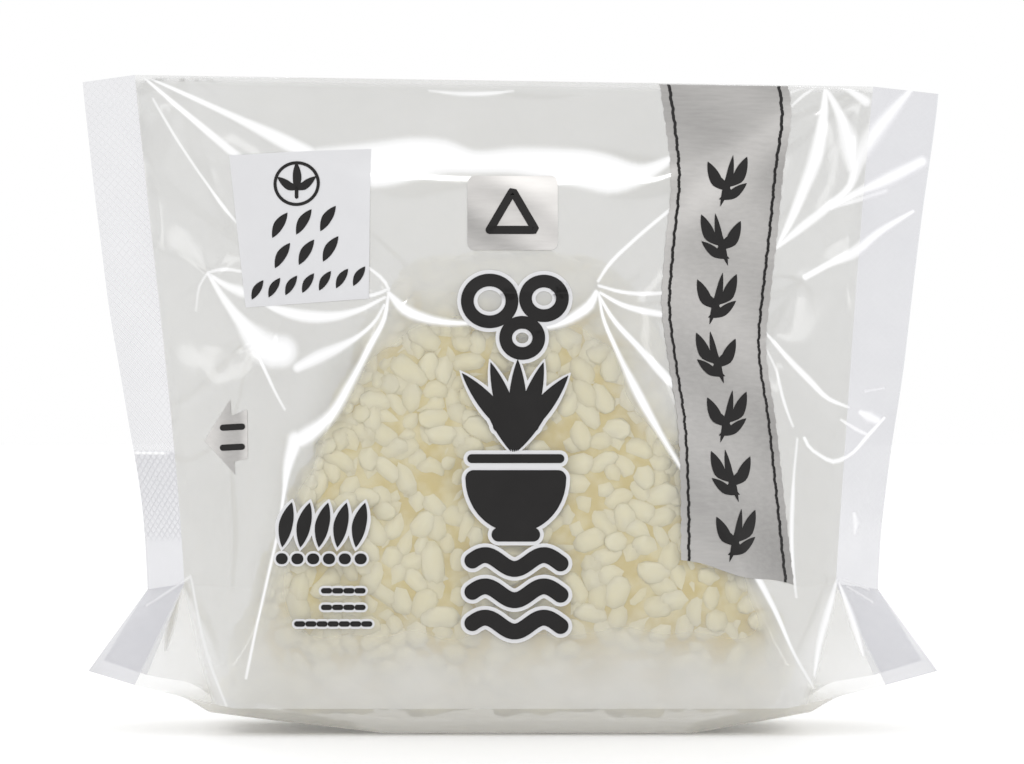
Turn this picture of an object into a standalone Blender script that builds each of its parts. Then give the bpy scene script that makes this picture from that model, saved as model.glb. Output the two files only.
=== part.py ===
"""A sealed clear film pack with one triangular rice ball in it, as one solid out to its true outer skin.

The pack is a flat film tube that was sealed at both ends and stands on an opened bottom gusset.
Metres, +Z up, front towards -Y. The origin is on the floor, under the middle of the pack.

The skin is a loft from left to right. Each section is a closed loop in a plane of nearly constant x:
up the front panel, over the top fold, down the back panel, and back through the gusset below.
At the two ends the loop closes flat into a seal fin, which the gusset splits into two ears at the bottom.
"""

import bmesh
import bpy
import math

# Driving dimensions of the pack
HEIGHT = 0.105
HALF_WIDTH_TOP = 0.0595
HALF_WIDTH_LOW = 0.0525
WIDTH_CURVE = 1.15
APEX_HEIGHT = 0.0230
SEAL_WIDTH = 0.0093
FILM_SOLID = 0.0008
SEAL_TOP_DROP = 0.0012

# Driving dimensions of the rice ball, as the film lies on it
RICE_HALF_DEPTH = 0.0183
RICE_HALF_BASE = 0.0435
RICE_HALF_TOP = 0.0170
RICE_BASE_LEVEL = 0.0110
RICE_TOP_LEVEL = 0.0700

# The air space above the rice ball
RIDGE_LEVEL = 0.0900
RIDGE_HALF_WIDTH = 0.0270
RIDGE_HALF_DEPTH = 0.0143

# The bottom: its long edges, the flat it stands on, which rises towards both ends, and the tips of the ears
EDGE_LEVEL = 0.0042
EDGE_HALF_DEPTH = 0.0172
BASE_HALF_LENGTH = 0.0430
BASE_FLAT_FROM, BASE_FLAT_TO = -0.0180, 0.0260
BASE_FLAT_SHARE = 0.75
BASE_RISE = 0.0032
BASE_STEEPNESS = 1.8
FOOT_ROUNDING = 0.0030
EAR_SPREAD = 0.0070
EAR_HALF_DEPTH = 0.0110
EAR_LEVEL = 0.0075
EAR_TIP_RISE = 0.0023
EAR_TIP_SPREAD = 0.0081
EAR_TIP_SPLAY = 0.0012

# How the fins lean back, and the dimples where loose film folds in beside the rice ball
FIN_LEAN = math.radians(38)
FIN_LEAN_LEVEL = 0.0300
FIN_STRAIGHT_LEVEL = 0.0850
DIMPLE_PLACES = ((-0.0370, 0.0610, 0.0024), (0.0350, 0.0640, 0.0017))
DIMPLE_WIDTH = 0.0085
CORNER_SOFTNESS = 0.0018
LEAST_REACH = 0.0020

# Resolution of the loft
BODY_STATIONS = 45
SEAL_STATIONS = 2
EAR_ROWS = 8
EAR_ROW_SPACING = 1.3
PANEL_ROWS = 26
SHARP_ANGLE = math.radians(35)

FILM_COLOUR = (0.74, 0.74, 0.73, 1.0)
FILM_ROUGHNESS = 0.18


def mix(a, b, share):
    return a + (b - a) * share


def share_between(value, low, high):
    """0 at low, 1 at high, held between them."""
    return min(max((value - low) / (high - low), 0.0), 1.0)


def smooth_step(value, low, high):
    share = share_between(value, low, high)
    return share * share * (3 - 2 * share)


def soft_least(values, softness):
    """The least of the values, rounded off where two of them meet."""
    least = min(values)
    total = sum(math.exp((least - value) / softness) for value in values)
    return least - softness * math.log(total)


def seal_half_width(level):
    """Half the distance between the two seals, which the deep rice ball draws together lower down."""
    return mix(HALF_WIDTH_LOW, HALF_WIDTH_TOP, share_between(level, APEX_HEIGHT, HEIGHT) ** WIDTH_CURVE)


def contact_half_width(level):
    """Half the width of the flat front, from the base of the rice ball to the ridge of the air space."""
    if level < RICE_TOP_LEVEL:
        return mix(RICE_HALF_BASE, RICE_HALF_TOP, share_between(level, RICE_BASE_LEVEL, RICE_TOP_LEVEL))
    if level < RIDGE_LEVEL:
        return mix(RICE_HALF_TOP, RIDGE_HALF_WIDTH, share_between(level, RICE_TOP_LEVEL, RIDGE_LEVEL))
    return mix(RIDGE_HALF_WIDTH, HALF_WIDTH_TOP, share_between(level, RIDGE_LEVEL, HEIGHT))


def front_half_depth(level):
    """Half the depth of the pack in its middle, without the slope up to the top fold."""
    rounded_foot = RICE_HALF_DEPTH - (RICE_HALF_DEPTH - EDGE_HALF_DEPTH) * math.exp(
        (EDGE_LEVEL - level) / FOOT_ROUNDING
    )
    leaning = mix(0.0, RICE_HALF_DEPTH - RIDGE_HALF_DEPTH, share_between(level, RICE_TOP_LEVEL, RIDGE_LEVEL))
    return rounded_foot - leaning


def panel_half_depth(x, level, seal_x, seal_y):
    """Half the depth of the pack at x and level: the rice face, the slope to the fold and the slope to the seal."""
    face = front_half_depth(level)
    to_fold = (HEIGHT - level) * RIDGE_HALF_DEPTH / (HEIGHT - RIDGE_LEVEL)
    reach = max(seal_x - contact_half_width(level), LEAST_REACH)
    to_seal = seal_y + (seal_x - abs(x)) * (min(face, to_fold) - seal_y) / reach
    depth = soft_least((face, to_fold, to_seal), CORNER_SOFTNESS)
    for place_x, place_level, dip in DIMPLE_PLACES:
        away = ((x - place_x) ** 2 + (level - place_level) ** 2) / DIMPLE_WIDTH**2
        depth -= dip * math.exp(-away)
    return max(depth, 0.0)


def row_levels():
    """The levels of the rows of a panel in its middle, bottom edge first. The first rows end in the ears."""
    ear_rows = [mix(EDGE_LEVEL, APEX_HEIGHT, (row / EAR_ROWS) ** EAR_ROW_SPACING) for row in range(EAR_ROWS + 1)]
    upper_rows = [mix(APEX_HEIGHT, HEIGHT, row / PANEL_ROWS) for row in range(1, PANEL_ROWS + 1)]
    return ear_rows + upper_rows


def seal_line(row, level):
    """(x, half depth, level) of the right-hand inner edge of the seal at a row of the front panel."""
    ear = max(1 - row / EAR_ROWS, 0.0)
    if ear > 0:
        return (
            HALF_WIDTH_LOW + EAR_SPREAD * ear,
            EAR_HALF_DEPTH * ear,
            mix(APEX_HEIGHT, EAR_LEVEL, ear),
        )
    return seal_half_width(level), 0.0, level


def seal_offset(row, level, side):
    """From the inner to the outer edge of the right-hand seal at a row. side is -1 in front and 1 behind."""
    ear = max(1 - row / EAR_ROWS, 0.0)
    lean = FIN_LEAN * (1 - smooth_step(level, FIN_LEAN_LEVEL, FIN_STRAIGHT_LEVEL))
    drop = SEAL_TOP_DROP * smooth_step(level, FIN_STRAIGHT_LEVEL, HEIGHT)
    drop += SEAL_TOP_DROP * (1 - smooth_step(level, APEX_HEIGHT, FIN_LEAN_LEVEL))
    upright = (SEAL_WIDTH * math.cos(lean), SEAL_WIDTH * math.sin(lean), -drop)
    spread = (EAR_TIP_SPREAD, side * EAR_TIP_SPLAY, EAR_TIP_RISE)
    return [mix(upright[i], spread[i], ear) for i in range(3)]


def panel_point(station, row, level, side):
    """A point of the front panel (side -1) or the back panel (side 1). station runs from -1 to 1 between the seals."""
    seal_x, seal_y, seal_level = seal_line(row, level)
    x = station * seal_x
    contact = contact_half_width(level)
    outward = share_between(abs(x), contact, seal_x)
    z = mix(level, seal_level, outward)
    depth = panel_half_depth(x * (1 if side < 0 else -1), z, seal_x, seal_y)
    return x, side * (depth + FILM_SOLID / 2), z


def base_rise(x):
    """How far the base has risen from the floor at x, outside the flat that the pack stands on."""
    left = share_between(-x, -BASE_FLAT_FROM, BASE_HALF_LENGTH)
    right = share_between(x, BASE_FLAT_TO, BASE_HALF_LENGTH)
    return BASE_RISE * (left + right)


def gusset_point(station, share, side):
    """A point of the gusset. share runs from 0 at the bottom edge of the panel to 1 at the gusset's own fold."""
    edge_x, edge_y, edge_z = panel_point(station, 0, EDGE_LEVEL, side)
    fold_x = station * HALF_WIDTH_LOW
    fold_z = APEX_HEIGHT * share_between(abs(fold_x), BASE_HALF_LENGTH, HALF_WIDTH_LOW)
    end = share_between(abs(station), BASE_HALF_LENGTH / HALF_WIDTH_LOW, 1.0)
    inner_y = side * (abs(edge_y) - FILM_SOLID)
    start_z = edge_z - FILM_SOLID * (1 - end)
    base_z = base_rise(fold_x) * (1 - end)
    x = mix(edge_x, fold_x, share)
    y = inner_y * (1 - share)
    lift = share_between(1 - share, mix(BASE_FLAT_SHARE, 0.0, end), 1.0) ** mix(BASE_STEEPNESS, 1.0, end)
    z = base_z + (start_z - base_z) * lift + fold_z * share
    return x, y, z


def shifted(point, offset, share):
    """A point moved outwards along the right-hand seal's offset, or its mirror image on the left."""
    out = 1 if point[0] > 0 else -1
    return point[0] + out * offset[0] * share, point[1] + offset[1] * share, point[2] + offset[2] * share


def section_loop(station, outward):
    """The loop of one section: front panel, back panel, then the gusset from back to front.
    outward is 0 in the body of the pack and runs to 1 at the outer edge of a seal."""
    levels = row_levels()
    front, back = [], []
    for row, level in enumerate(levels):
        for side, panel in ((-1, front), (1, back)):
            offset = seal_offset(row, level, side)
            panel.append(shifted(panel_point(station, row, level, side), offset, outward))
    gusset = []
    for side, shares in ((1, range(EAR_ROWS)), (-1, range(EAR_ROWS, -1, -1))):
        for row in shares:
            offset = seal_offset(row, levels[row], side if row < EAR_ROWS else 0)
            gusset.append(shifted(gusset_point(station, row / EAR_ROWS, side), offset, outward))
    return front + back[::-1] + gusset


def section_list():
    """(station, outward) of every section, from the left seal's outer edge to the right one's."""
    body = [(2 * i / (BODY_STATIONS - 1) - 1, 0.0) for i in range(BODY_STATIONS)]
    seal = [(i + 1) / SEAL_STATIONS for i in range(SEAL_STATIONS)]
    return [(-1.0, out) for out in reversed(seal)] + body + [(1.0, out) for out in seal]


def cap_faces(loop):
    """The faces that close the last loop: one strip across the fin and one across each ear."""
    rows = EAR_ROWS + PANEL_ROWS + 1
    front = loop[:rows]
    back = loop[rows : 2 * rows][::-1]
    gusset = loop[2 * rows :]
    back_gusset = gusset[: EAR_ROWS + 1]
    front_gusset = gusset[EAR_ROWS:][::-1]
    apex = front_gusset[-1]
    faces = [(front[EAR_ROWS], back[EAR_ROWS], apex)]
    for i in range(EAR_ROWS, rows - 1):
        faces.append((front[i], front[i + 1], back[i + 1], back[i]))
    for panel, inner in ((front, front_gusset), (back, back_gusset)):
        for i in range(EAR_ROWS):
            faces.append((panel[i], panel[i + 1], inner[i + 1], inner[i]))
    return faces


def lofted_mesh(name):
    """The closed skin through all sections."""
    made = bmesh.new()
    loops = []
    for station, outward in section_list():
        loops.append([made.verts.new(point) for point in section_loop(station, outward)])
    count = len(loops[0])
    for left, right in zip(loops, loops[1:]):
        for i in range(count):
            after = (i + 1) % count
            made.faces.new((left[i], right[i], right[after], left[after]))
    for loop in (loops[0], loops[-1]):
        for face in cap_faces(loop):
            made.faces.new(face)
    bmesh.ops.recalc_face_normals(made, faces=made.faces)
    mesh = bpy.data.meshes.new(name)
    made.to_mesh(mesh)
    made.free()
    mesh.shade_smooth()
    mesh.set_sharp_from_angle(angle=SHARP_ANGLE)
    return mesh


def film_material():
    material = bpy.data.materials.new("milky_film")
    material.use_nodes = True
    shader = material.node_tree.nodes["Principled BSDF"]
    shader.inputs["Base Color"].default_value = FILM_COLOUR
    shader.inputs["Roughness"].default_value = FILM_ROUGHNESS
    return material


def main():
    for obj in list(bpy.data.objects):
        bpy.data.objects.remove(obj)
    collection = bpy.data.collections.new("packed_rice_ball")
    bpy.context.scene.collection.children.link(collection)
    pack = bpy.data.objects.new("film_pack", lofted_mesh("film_pack"))
    pack.data.materials.append(film_material())
    collection.objects.link(pack)


main()
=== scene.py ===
"""Looks of a triangular rice ball in a clear, milky film pack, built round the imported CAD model.

The film is worked out again from the CAD model's driving sizes, on fine grids and with its folds.
Behind it lies the rice: a core with about two thousand cooked grains on it. Metres, +Z up, front towards -Y.
"""

import math

import bpy
import numpy as np
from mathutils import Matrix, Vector


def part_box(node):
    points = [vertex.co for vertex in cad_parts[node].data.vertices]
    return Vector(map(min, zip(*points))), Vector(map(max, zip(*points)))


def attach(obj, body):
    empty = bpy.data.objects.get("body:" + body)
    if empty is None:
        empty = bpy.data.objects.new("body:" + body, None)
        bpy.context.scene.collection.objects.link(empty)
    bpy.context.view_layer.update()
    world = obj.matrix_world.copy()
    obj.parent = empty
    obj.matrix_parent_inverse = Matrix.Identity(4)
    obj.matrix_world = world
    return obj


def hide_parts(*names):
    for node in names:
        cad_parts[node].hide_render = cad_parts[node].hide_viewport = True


bl_info = {
    "name": "Packed Rice Ball",
    "version": (1, 0, 0),
    "blender": (4, 5, 0),
    "location": "3D View > Sidebar > Rice Ball",
    "description": "Makes a rice ball in a clear film pack: film, seals, print, rice and a white studio",
    "category": "Object",
}

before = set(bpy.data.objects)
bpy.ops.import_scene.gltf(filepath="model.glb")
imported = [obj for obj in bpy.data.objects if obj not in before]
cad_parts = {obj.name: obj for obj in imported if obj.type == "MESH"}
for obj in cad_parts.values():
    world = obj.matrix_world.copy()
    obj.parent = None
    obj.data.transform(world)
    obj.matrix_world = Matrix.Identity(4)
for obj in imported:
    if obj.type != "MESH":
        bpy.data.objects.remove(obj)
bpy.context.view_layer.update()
_, PACK_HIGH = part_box("film_pack")

MM = 0.001
BODY = "root"
NODE = "film_pack"

# The pack's driving sizes, as in the CAD model
HEIGHT = PACK_HIGH.z
HALF_WIDTH_TOP, HALF_WIDTH_LOW = 0.0595, 0.0525
WIDTH_CURVE = 1.15
APEX_HEIGHT = 0.0230
SEAL_WIDTH = 0.0093
SEAL_TOP_DROP = 0.0012
RICE_HALF_DEPTH = PACK_HIGH.y - 0.0004
RICE_HALF_BASE, RICE_HALF_TOP = 0.0435, 0.0170
RICE_BASE_LEVEL, RICE_TOP_LEVEL = 0.0110, 0.0700
RIDGE_LEVEL, RIDGE_HALF_WIDTH, RIDGE_HALF_DEPTH = 0.0900, 0.0270, 0.0143
EDGE_LEVEL, EDGE_HALF_DEPTH, FOOT_ROUNDING = 0.0042, 0.0172, 0.0030
BASE_HALF_LENGTH = 0.0430
BASE_FLAT_FROM, BASE_FLAT_TO = -0.0180, 0.0260
BASE_FLAT_SHARE, BASE_RISE, BASE_STEEPNESS = 0.75, 0.0032, 1.8
EAR_SPREAD, EAR_HALF_DEPTH, EAR_LEVEL = 0.0070, 0.0110, 0.0075
EAR_TIP_RISE, EAR_TIP_SPREAD, EAR_TIP_SPLAY = 0.0023, 0.0081, 0.0012
EAR_ROW_SPACING = 1.3
FIN_LEAN, FIN_LEAN_LEVEL, FIN_STRAIGHT_LEVEL = math.radians(38), 0.0300, 0.0850
DIMPLES = ((-0.0370, 0.0610, 0.0024), (0.0350, 0.0640, 0.0017))
DIMPLE_WIDTH = 0.0085
NOTCH_LEVEL = 0.0440
CORNER_SOFTNESS = 0.0013
LEAST_REACH = 0.0020
FILM_GAP = 0.0006
# How much narrower the left fin is than in the CAD model, and how much wider the right one's top
FIN_NARROWING, FIN_WIDENING = -0.0009, 0.0012
TOP_TILT, TOP_LEAN = 0.0019, 0.0010
SETTLED_FROM, SETTLED_HALF_WIDTH = 0.030, 0.060

# The folds of the loose film: how bright the gleam on each is, painted as a white highlight in the film's
# colour, its height in mm, how many mm it takes to fall away on its left and on its right, and its points as
# x, z and width of the painted gleam in mm.
FOLDS = (
    # from the upper left corner
    (1.0, 0.50, 1.6, 4.5, (-59.3, 105.0, 0.2), (-52.0, 101.6, 0.5), (-43.0, 97.3, 0.9),
     (-36.5, 94.0, 1.6), (-31.5, 91.3, 1.8)),
    (1.0, 0.40, 3.5, 1.5, (-59.3, 104.8, 0.3), (-52.0, 98.6, 0.6), (-46.5, 94.0, 0.9),
     (-42.9, 91.0, 1.0)),
    (0.9, 0.40, 1.4, 4.0, (-57.4, 101.0, 0.2), (-53.5, 94.5, 0.3), (-48.5, 87.2, 0.3),
     (-45.0, 82.5, 0.4), (-43.6, 80.9, 0.2)),
    # the broad gleam under the top
    (1.0, 0.20, 4.0, 4.0, (-30.0, 90.0, 4.0), (-21.0, 89.9, 6.4), (-15.0, 90.9, 5.8),
     (-11.0, 91.1, 4.8), (-6.2, 90.3, 2.8), (1.6, 90.4, 3.6), (8.0, 89.7, 4.6), (12.0, 89.1, 5.2),
     (16.1, 88.2, 5.0), (20.2, 88.3, 2.6), (26.0, 91.0, 0.8)),
    (0.6, 0.05, 1.0, 1.0, (-13.0, 102.3, 0.2), (-8.0, 101.8, 0.6), (-3.0, 101.9, 0.5),
     (0.5, 102.3, 0.2)),
    # round the dimple on the left
    (0.9, 0.20, 1.0, 2.0, (-48.4, 73.0, 0.3), (-46.3, 73.5, 0.4), (-42.0, 73.0, 0.3)),
    (0.6, 0.15, 1.0, 1.5, (-48.4, 73.0, 0.3), (-49.6, 71.3, 0.3), (-50.4, 67.0, 0.2)),
    (0.9, 0.30, 1.5, 1.5, (-48.2, 72.8, 0.3), (-45.5, 71.0, 0.8), (-42.2, 69.7, 1.3),
     (-40.5, 69.2, 1.0)),
    (1.0, 0.60, 2.0, 3.0, (-48.3, 72.8, 0.4), (-45.6, 68.6, 0.9), (-43.0, 65.2, 1.5),
     (-40.6, 62.4, 3.0), (-37.9, 60.5, 4.4), (-36.4, 60.4, 4.2)),
    (0.9, 0.35, 1.6, 1.6, (-41.2, 62.0, 0.6), (-38.6, 56.5, 0.4), (-36.8, 53.0, 0.3),
     (-35.7, 51.2, 0.2)),
    # the film drawn tight from the rice ball's left shoulder
    (1.0, 0.75, 3.2, 1.6, (-19.1, 69.2, 0.3), (-19.6, 65.8, 0.5), (-21.9, 61.3, 0.8),
     (-24.9, 55.6, 1.1), (-28.7, 49.6, 1.6), (-32.2, 46.9, 2.0), (-34.0, 46.0, 1.7)),
    (1.0, 0.45, 2.0, 2.0, (-33.8, 46.4, 1.9), (-35.0, 42.4, 1.2), (-35.6, 38.0, 0.5),
     (-36.4, 32.5, 0.4), (-38.1, 24.5, 0.4), (-39.9, 16.4, 0.3), (-41.4, 9.1, 0.2)),
    (1.0, 0.40, 2.0, 2.0, (-19.6, 68.8, 0.3), (-23.5, 66.9, 0.6), (-27.5, 65.9, 1.1),
     (-32.0, 65.9, 1.4), (-36.5, 66.9, 1.0), (-39.0, 67.8, 0.4)),
    (0.9, 0.40, 1.8, 1.8, (-19.7, 67.6, 0.3), (-21.2, 65.0, 0.4), (-23.8, 62.7, 0.6),
     (-27.0, 60.9, 1.2), (-30.5, 59.4, 1.5), (-33.7, 57.8, 1.1)),
    (0.9, 0.20, 1.6, 1.6, (-19.0, 69.9, 0.3), (-19.5, 71.0, 0.4), (-20.7, 72.3, 0.4),
     (-22.6, 73.7, 0.3)),
    (0.9, 0.20, 1.6, 1.6, (-19.0, 70.2, 0.3), (-20.4, 69.5, 0.4), (-23.4, 68.9, 0.4),
     (-26.9, 69.3, 0.3)),
    # hanging along the rice ball's top
    (1.0, 0.55, 2.6, 1.3, (-19.0, 69.4, 0.5), (-16.4, 66.8, 1.3), (-13.4, 65.5, 1.2),
     (-9.7, 64.8, 0.9), (-5.5, 64.7, 0.6), (0.0, 64.3, 0.5), (7.4, 64.5, 1.0), (10.3, 65.9, 1.3),
     (12.6, 67.7, 1.1), (13.5, 69.6, 0.5)),
    # from the rice ball's right shoulder
    (0.9, 0.25, 2.0, 1.6, (13.8, 71.3, 0.3), (15.2, 73.5, 0.4), (19.6, 77.9, 0.4),
     (25.5, 82.9, 0.4)),
    (0.9, 0.20, 1.4, 1.4, (13.9, 70.6, 0.3), (17.1, 69.7, 0.4), (23.7, 69.5, 0.4),
     (26.0, 69.8, 0.3)),
    (1.0, 0.25, 1.2, 1.6, (14.1, 69.5, 0.3), (17.1, 67.8, 0.5), (23.7, 66.2, 0.7),
     (26.5, 65.8, 0.3)),
    (1.0, 0.30, 1.4, 1.6, (13.9, 69.1, 0.3), (15.8, 65.8, 0.5), (20.2, 60.9, 0.7),
     (25.1, 55.6, 0.9), (27.5, 53.2, 0.3)),
    (1.0, 0.60, 2.4, 3.0, (13.9, 69.4, 0.3), (14.5, 65.8, 0.4), (16.5, 60.9, 0.6),
     (19.8, 54.1, 1.1), (24.0, 46.6, 0.8), (31.5, 35.0, 0.5), (38.5, 25.4, 0.8), (41.5, 19.9, 0.6),
     (44.8, 12.5, 0.3), (47.8, 7.4, 0.2)),
    # from the upper right corner
    (0.9, 0.15, 1.2, 1.2, (45.2, 102.1, 0.2), (47.6, 103.1, 0.3), (49.7, 103.6, 0.3)),
    (0.9, 0.15, 1.2, 1.2, (45.2, 99.8, 0.2), (47.3, 101.7, 0.3), (49.7, 103.3, 0.3)),
    (0.9, 0.25, 1.2, 1.2, (51.0, 103.6, 0.3), (54.2, 102.8, 0.8), (57.3, 100.7, 1.2)),
    (1.0, 0.55, 3.5, 1.8, (50.8, 103.4, 0.3), (50.2, 98.0, 1.1), (49.0, 91.7, 1.7),
     (46.8, 86.0, 1.3), (43.9, 79.5, 0.7), (42.4, 76.8, 0.2)),
    (0.8, 0.30, 2.0, 2.0, (50.9, 102.5, 0.6), (53.0, 98.2, 1.2), (54.6, 93.5, 2.6),
     (55.2, 90.0, 1.6)),
    (0.9, 0.45, 1.6, 2.6, (64.5, 102.5, 0.8), (61.5, 99.0, 1.8), (58.2, 94.8, 2.4),
     (56.0, 91.0, 1.7), (54.6, 87.0, 0.9), (51.1, 83.7, 1.0), (46.6, 80.2, 1.0), (42.4, 76.8, 0.3)),
    (1.0, 0.30, 1.4, 2.0, (66.3, 91.0, 1.6), (60.8, 88.2, 1.8), (55.6, 85.8, 0.9),
     (51.4, 83.4, 0.5)),
    (0.6, 0.15, 1.4, 2.0, (60.5, 86.3, 0.8), (55.0, 84.5, 0.5), (51.8, 83.4, 0.2)),
    (1.0, 0.40, 1.4, 2.6, (64.9, 83.0, 0.5), (59.0, 79.3, 1.2), (55.6, 76.5, 1.4),
     (51.5, 74.6, 0.8), (47.3, 72.3, 0.7)),
    # round the dimple on the right
    (1.0, 0.45, 1.2, 2.0, (40.9, 63.2, 0.3), (43.8, 59.9, 0.6), (48.0, 55.7, 0.7),
     (51.0, 52.9, 0.5), (54.6, 51.4, 0.3)),
    (0.8, 0.20, 1.2, 1.6, (40.9, 60.6, 0.2), (42.4, 57.5, 0.3), (43.5, 53.0, 0.4),
     (44.6, 49.8, 0.3), (45.2, 48.4, 0.2)),
    (0.9, 0.20, 1.6, 2.0, (45.9, 46.4, 0.2), (45.3, 41.0, 0.3), (45.0, 36.5, 0.5),
     (44.8, 30.2, 0.5), (45.4, 21.4, 0.2)),
    (1.0, 0.35, 1.4, 1.8, (47.1, 46.5, 0.4), (47.7, 45.3, 0.4), (49.6, 43.8, 0.4),
     (52.0, 42.7, 0.5), (54.4, 43.5, 0.5), (58.1, 47.1, 0.6), (60.6, 49.7, 0.4)),
    (0.8, 0.20, 1.4, 1.8, (53.3, 49.4, 0.3), (56.6, 47.5, 0.6), (58.0, 46.9, 0.4)),
    (0.9, 0.20, 1.4, 1.8, (56.6, 50.6, 0.8), (58.0, 49.9, 1.6), (59.4, 49.3, 1.2)),
    (0.8, 0.10, 1.4, 1.8, (55.6, 34.2, 0.7), (55.9, 32.4, 1.1), (55.7, 31.0, 0.5)),
    (0.8, 0.10, 1.0, 1.0, (57.3, 54.0, 0.3), (60.4, 54.5, 0.3)),
    # into the lower corners
    (0.4, 0.35, 1.8, 1.8, (-51.4, 24.3, 0.3), (-48.3, 14.0, 0.4), (-44.6, 4.6, 0.3)),
    (0.5, 0.15, 1.2, 1.4, (-51.6, 24.1, 0.3), (-55.0, 21.8, 0.4), (-58.6, 19.5, 0.3)),
    (1.0, 0.40, 1.6, 1.6, (52.7, 23.6, 0.3), (50.7, 18.8, 1.0), (48.9, 14.0, 0.8),
     (47.9, 9.2, 0.3)),
    (1.0, 0.35, 1.2, 1.4, (53.0, 23.2, 0.3), (54.4, 18.8, 0.9), (55.7, 14.0, 0.8),
     (56.2, 11.8, 0.3)),
    (0.8, 0.10, 1.0, 1.0, (53.9, 23.6, 0.3), (58.1, 21.9, 0.3)),
    (0.7, 0.10, 1.0, 1.0, (54.4, 22.5, 0.3), (58.5, 20.0, 0.3)),
)
# The ribbon's edges as points (x, z) in mm, from its foot up
RIBBON_LEFT = (
    (26.7, 22.0), (26.7, 38.0), (26.2, 50.0), (24.9, 59.0), (23.9, 67.5),
    (24.4, 76.0), (25.4, 88.0), (24.8, 96.5), (23.8, 106.0),
)
RIBBON_RIGHT = (
    (45.2, 22.0), (43.5, 38.0), (42.2, 50.0), (40.8, 61.0), (41.6, 70.0),
    (42.6, 79.0), (43.6, 89.0), (45.0, 99.0), (44.6, 106.0),
)
# Each dark line down the ribbon, from one share of its width to another
RIBBON_LINES = (0.060, 0.084), (0.916, 0.940)
# The label's rows of marks: x and z of the first, how many, their step, length and width, all in mm
LABEL_ROWS = (
    (-37.4, 80.4, 3, 3.9, 3.2, 1.6),
    (-37.0, 75.6, 3, 3.9, 3.2, 1.6),
    (-40.9, 70.2, 7, 2.75, 2.4, 1.3),
)
# Marks that overlap lie in this many layers, this far apart
PRINT_LAYERS, PRINT_LAYER = 11, 0.0000015
# A fold's round top, the spacing of its worked-out points and its greatest reach, in mm
FOLD_RADIUS, FOLD_SPACING, FOLD_REACH = 0.35, 1.2, 8.0
# A fold rises over the first shares of its length and loses most of its height over the last
FOLD_RISE, FOLD_FALL, FOLD_LOSS = (-0.02, 0.08), (0.45, 1.0), 0.85
# The least width a painted highlight (gleam) is drawn at, the width from which it is at full strength, and
# its soft border, in mm
THIN_GLEAM, FULL_GLEAM, BORDER_SHARE, WIDEST_BORDER = 0.34, 0.42, 0.98, 1.3
# The loose film's waves and its fine unevenness: height, then seed, count, shortest and longest wave
SLACK_HEIGHT, SLACK_WAVES = 0.00022, (3, 14, 0.016, 0.036)
FINE_HEIGHT, FINE_WAVES = 0.00002, (8, 18, 0.0045, 0.011)
# Waves that vary the strength of the painted highlights: seed, count, shortest and longest wave
GLEAM_WAVES = (4, 9, 0.006, 0.018)
# The clear window over the rice: levels and x of its left side and of its right side, then its top
WINDOW_LEFT = (0.008, 0.036, 0.0466, 0.069, 0.076), (-0.0400, -0.0362, -0.0345, -0.0191, -0.010)
WINDOW_RIGHT = (0.008, 0.0254, 0.0446, 0.0562, 0.0706), (0.0450, 0.0395, 0.0300, 0.0215, 0.0139)
WINDOW_TOP, WINDOW_FOOT = 0.0685, (0.005, 0.0225)
# The milkier strip at the film's foot, as more haze from one level down to the other, and the clear top rim
FOOT_HAZE, FOOT_LEVELS = 0.09, (0.018, 0.010)
RIM_HAZE, RIM_WIDTHS = 0.40, (0.0006, 0.0013)
# Painted shade at the film's foot: its strength, the levels it grows between downwards, and the half length
# it covers
FOOT_SHADE, FOOT_SHADE_LEVELS, FOOT_SHADE_HALF_LENGTH = 0.45, (0.026, 0.008), 0.046
# Rows and columns of the film's grids, and the rows and columns of the seals
FRONT_GRID, BACK_GRID, GUSSET_GRID = (420, 640), (300, 480), (60, 300)
FIN_ROWS, EAR_ROWS, SEAL_COLUMNS = 420, 80, 48
# More haze on the left fin under its notch and on the right fin, and how strongly the right one is pressed
LEFT_FIN_HAZE, RIGHT_FIN_HAZE, RIGHT_PRESSING = 0.24, 0.20, 0.25
# The white of the painted highlights on the film and the seals, and of the seals' notch and edges
WHITE = (0.97, 0.97, 0.98)


# ---------------------------------------------------------------- numbers


def mix(a, b, share):
    return a + (b - a) * share


def share_between(value, low, high):
    """0 at low, 1 at high, held between them."""
    return np.clip((value - low) / (high - low), 0.0, 1.0)


def smooth_step(value, low, high):
    """As share_between, with a level start and end: 3 s squared less 2 s cubed."""
    share = share_between(value, low, high)
    return share * share * (3 - 2 * share)


def soft_least(values, softness):
    """The least of the values, rounded where two meet: minus the log of the sum of exponentials."""
    stacked = np.stack(np.broadcast_arrays(*values))
    least = stacked.min(axis=0)
    return least - softness * np.log(np.exp((least - stacked) / softness).sum(axis=0))


def grid(rows, columns, low=(0.0, 0.0), high=(1.0, 1.0)):
    """Two parameter arrays of rows by columns, evenly spaced from low to high."""
    first, second = np.linspace(low[0], high[0], rows), np.linspace(low[1], high[1], columns)
    return np.meshgrid(first, second, indexing="ij")


def waves(x, z, seed, count, shortest, longest):
    """A soft uneven field of about unit size: sine waves of random direction, length and phase, added up and
    divided by the square root of their count."""
    random = np.random.default_rng(seed)
    angles = random.uniform(0, 2 * math.pi, count)
    lengths = random.uniform(shortest, longest, count)
    phases = random.uniform(0, 2 * math.pi, count)
    total = np.zeros(np.broadcast(x, z).shape)
    for angle, length, phase in zip(angles, lengths, phases):
        total += np.sin((x * math.cos(angle) + z * math.sin(angle)) * 2 * math.pi / length + phase)
    return total / math.sqrt(count)


# ---------------------------------------------------------------- meshes


def grid_faces(rows, columns, start=0, turned=False):
    """The quads of a grid of points counted row by row, as one array of four numbers a face."""
    corner = start + np.arange(rows - 1)[:, None] * columns + np.arange(columns - 1)[None, :]
    quads = np.stack([corner, corner + columns, corner + columns + 1, corner + 1], axis=-1).reshape(-1, 4)
    return quads[:, ::-1] if turned else quads


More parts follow.
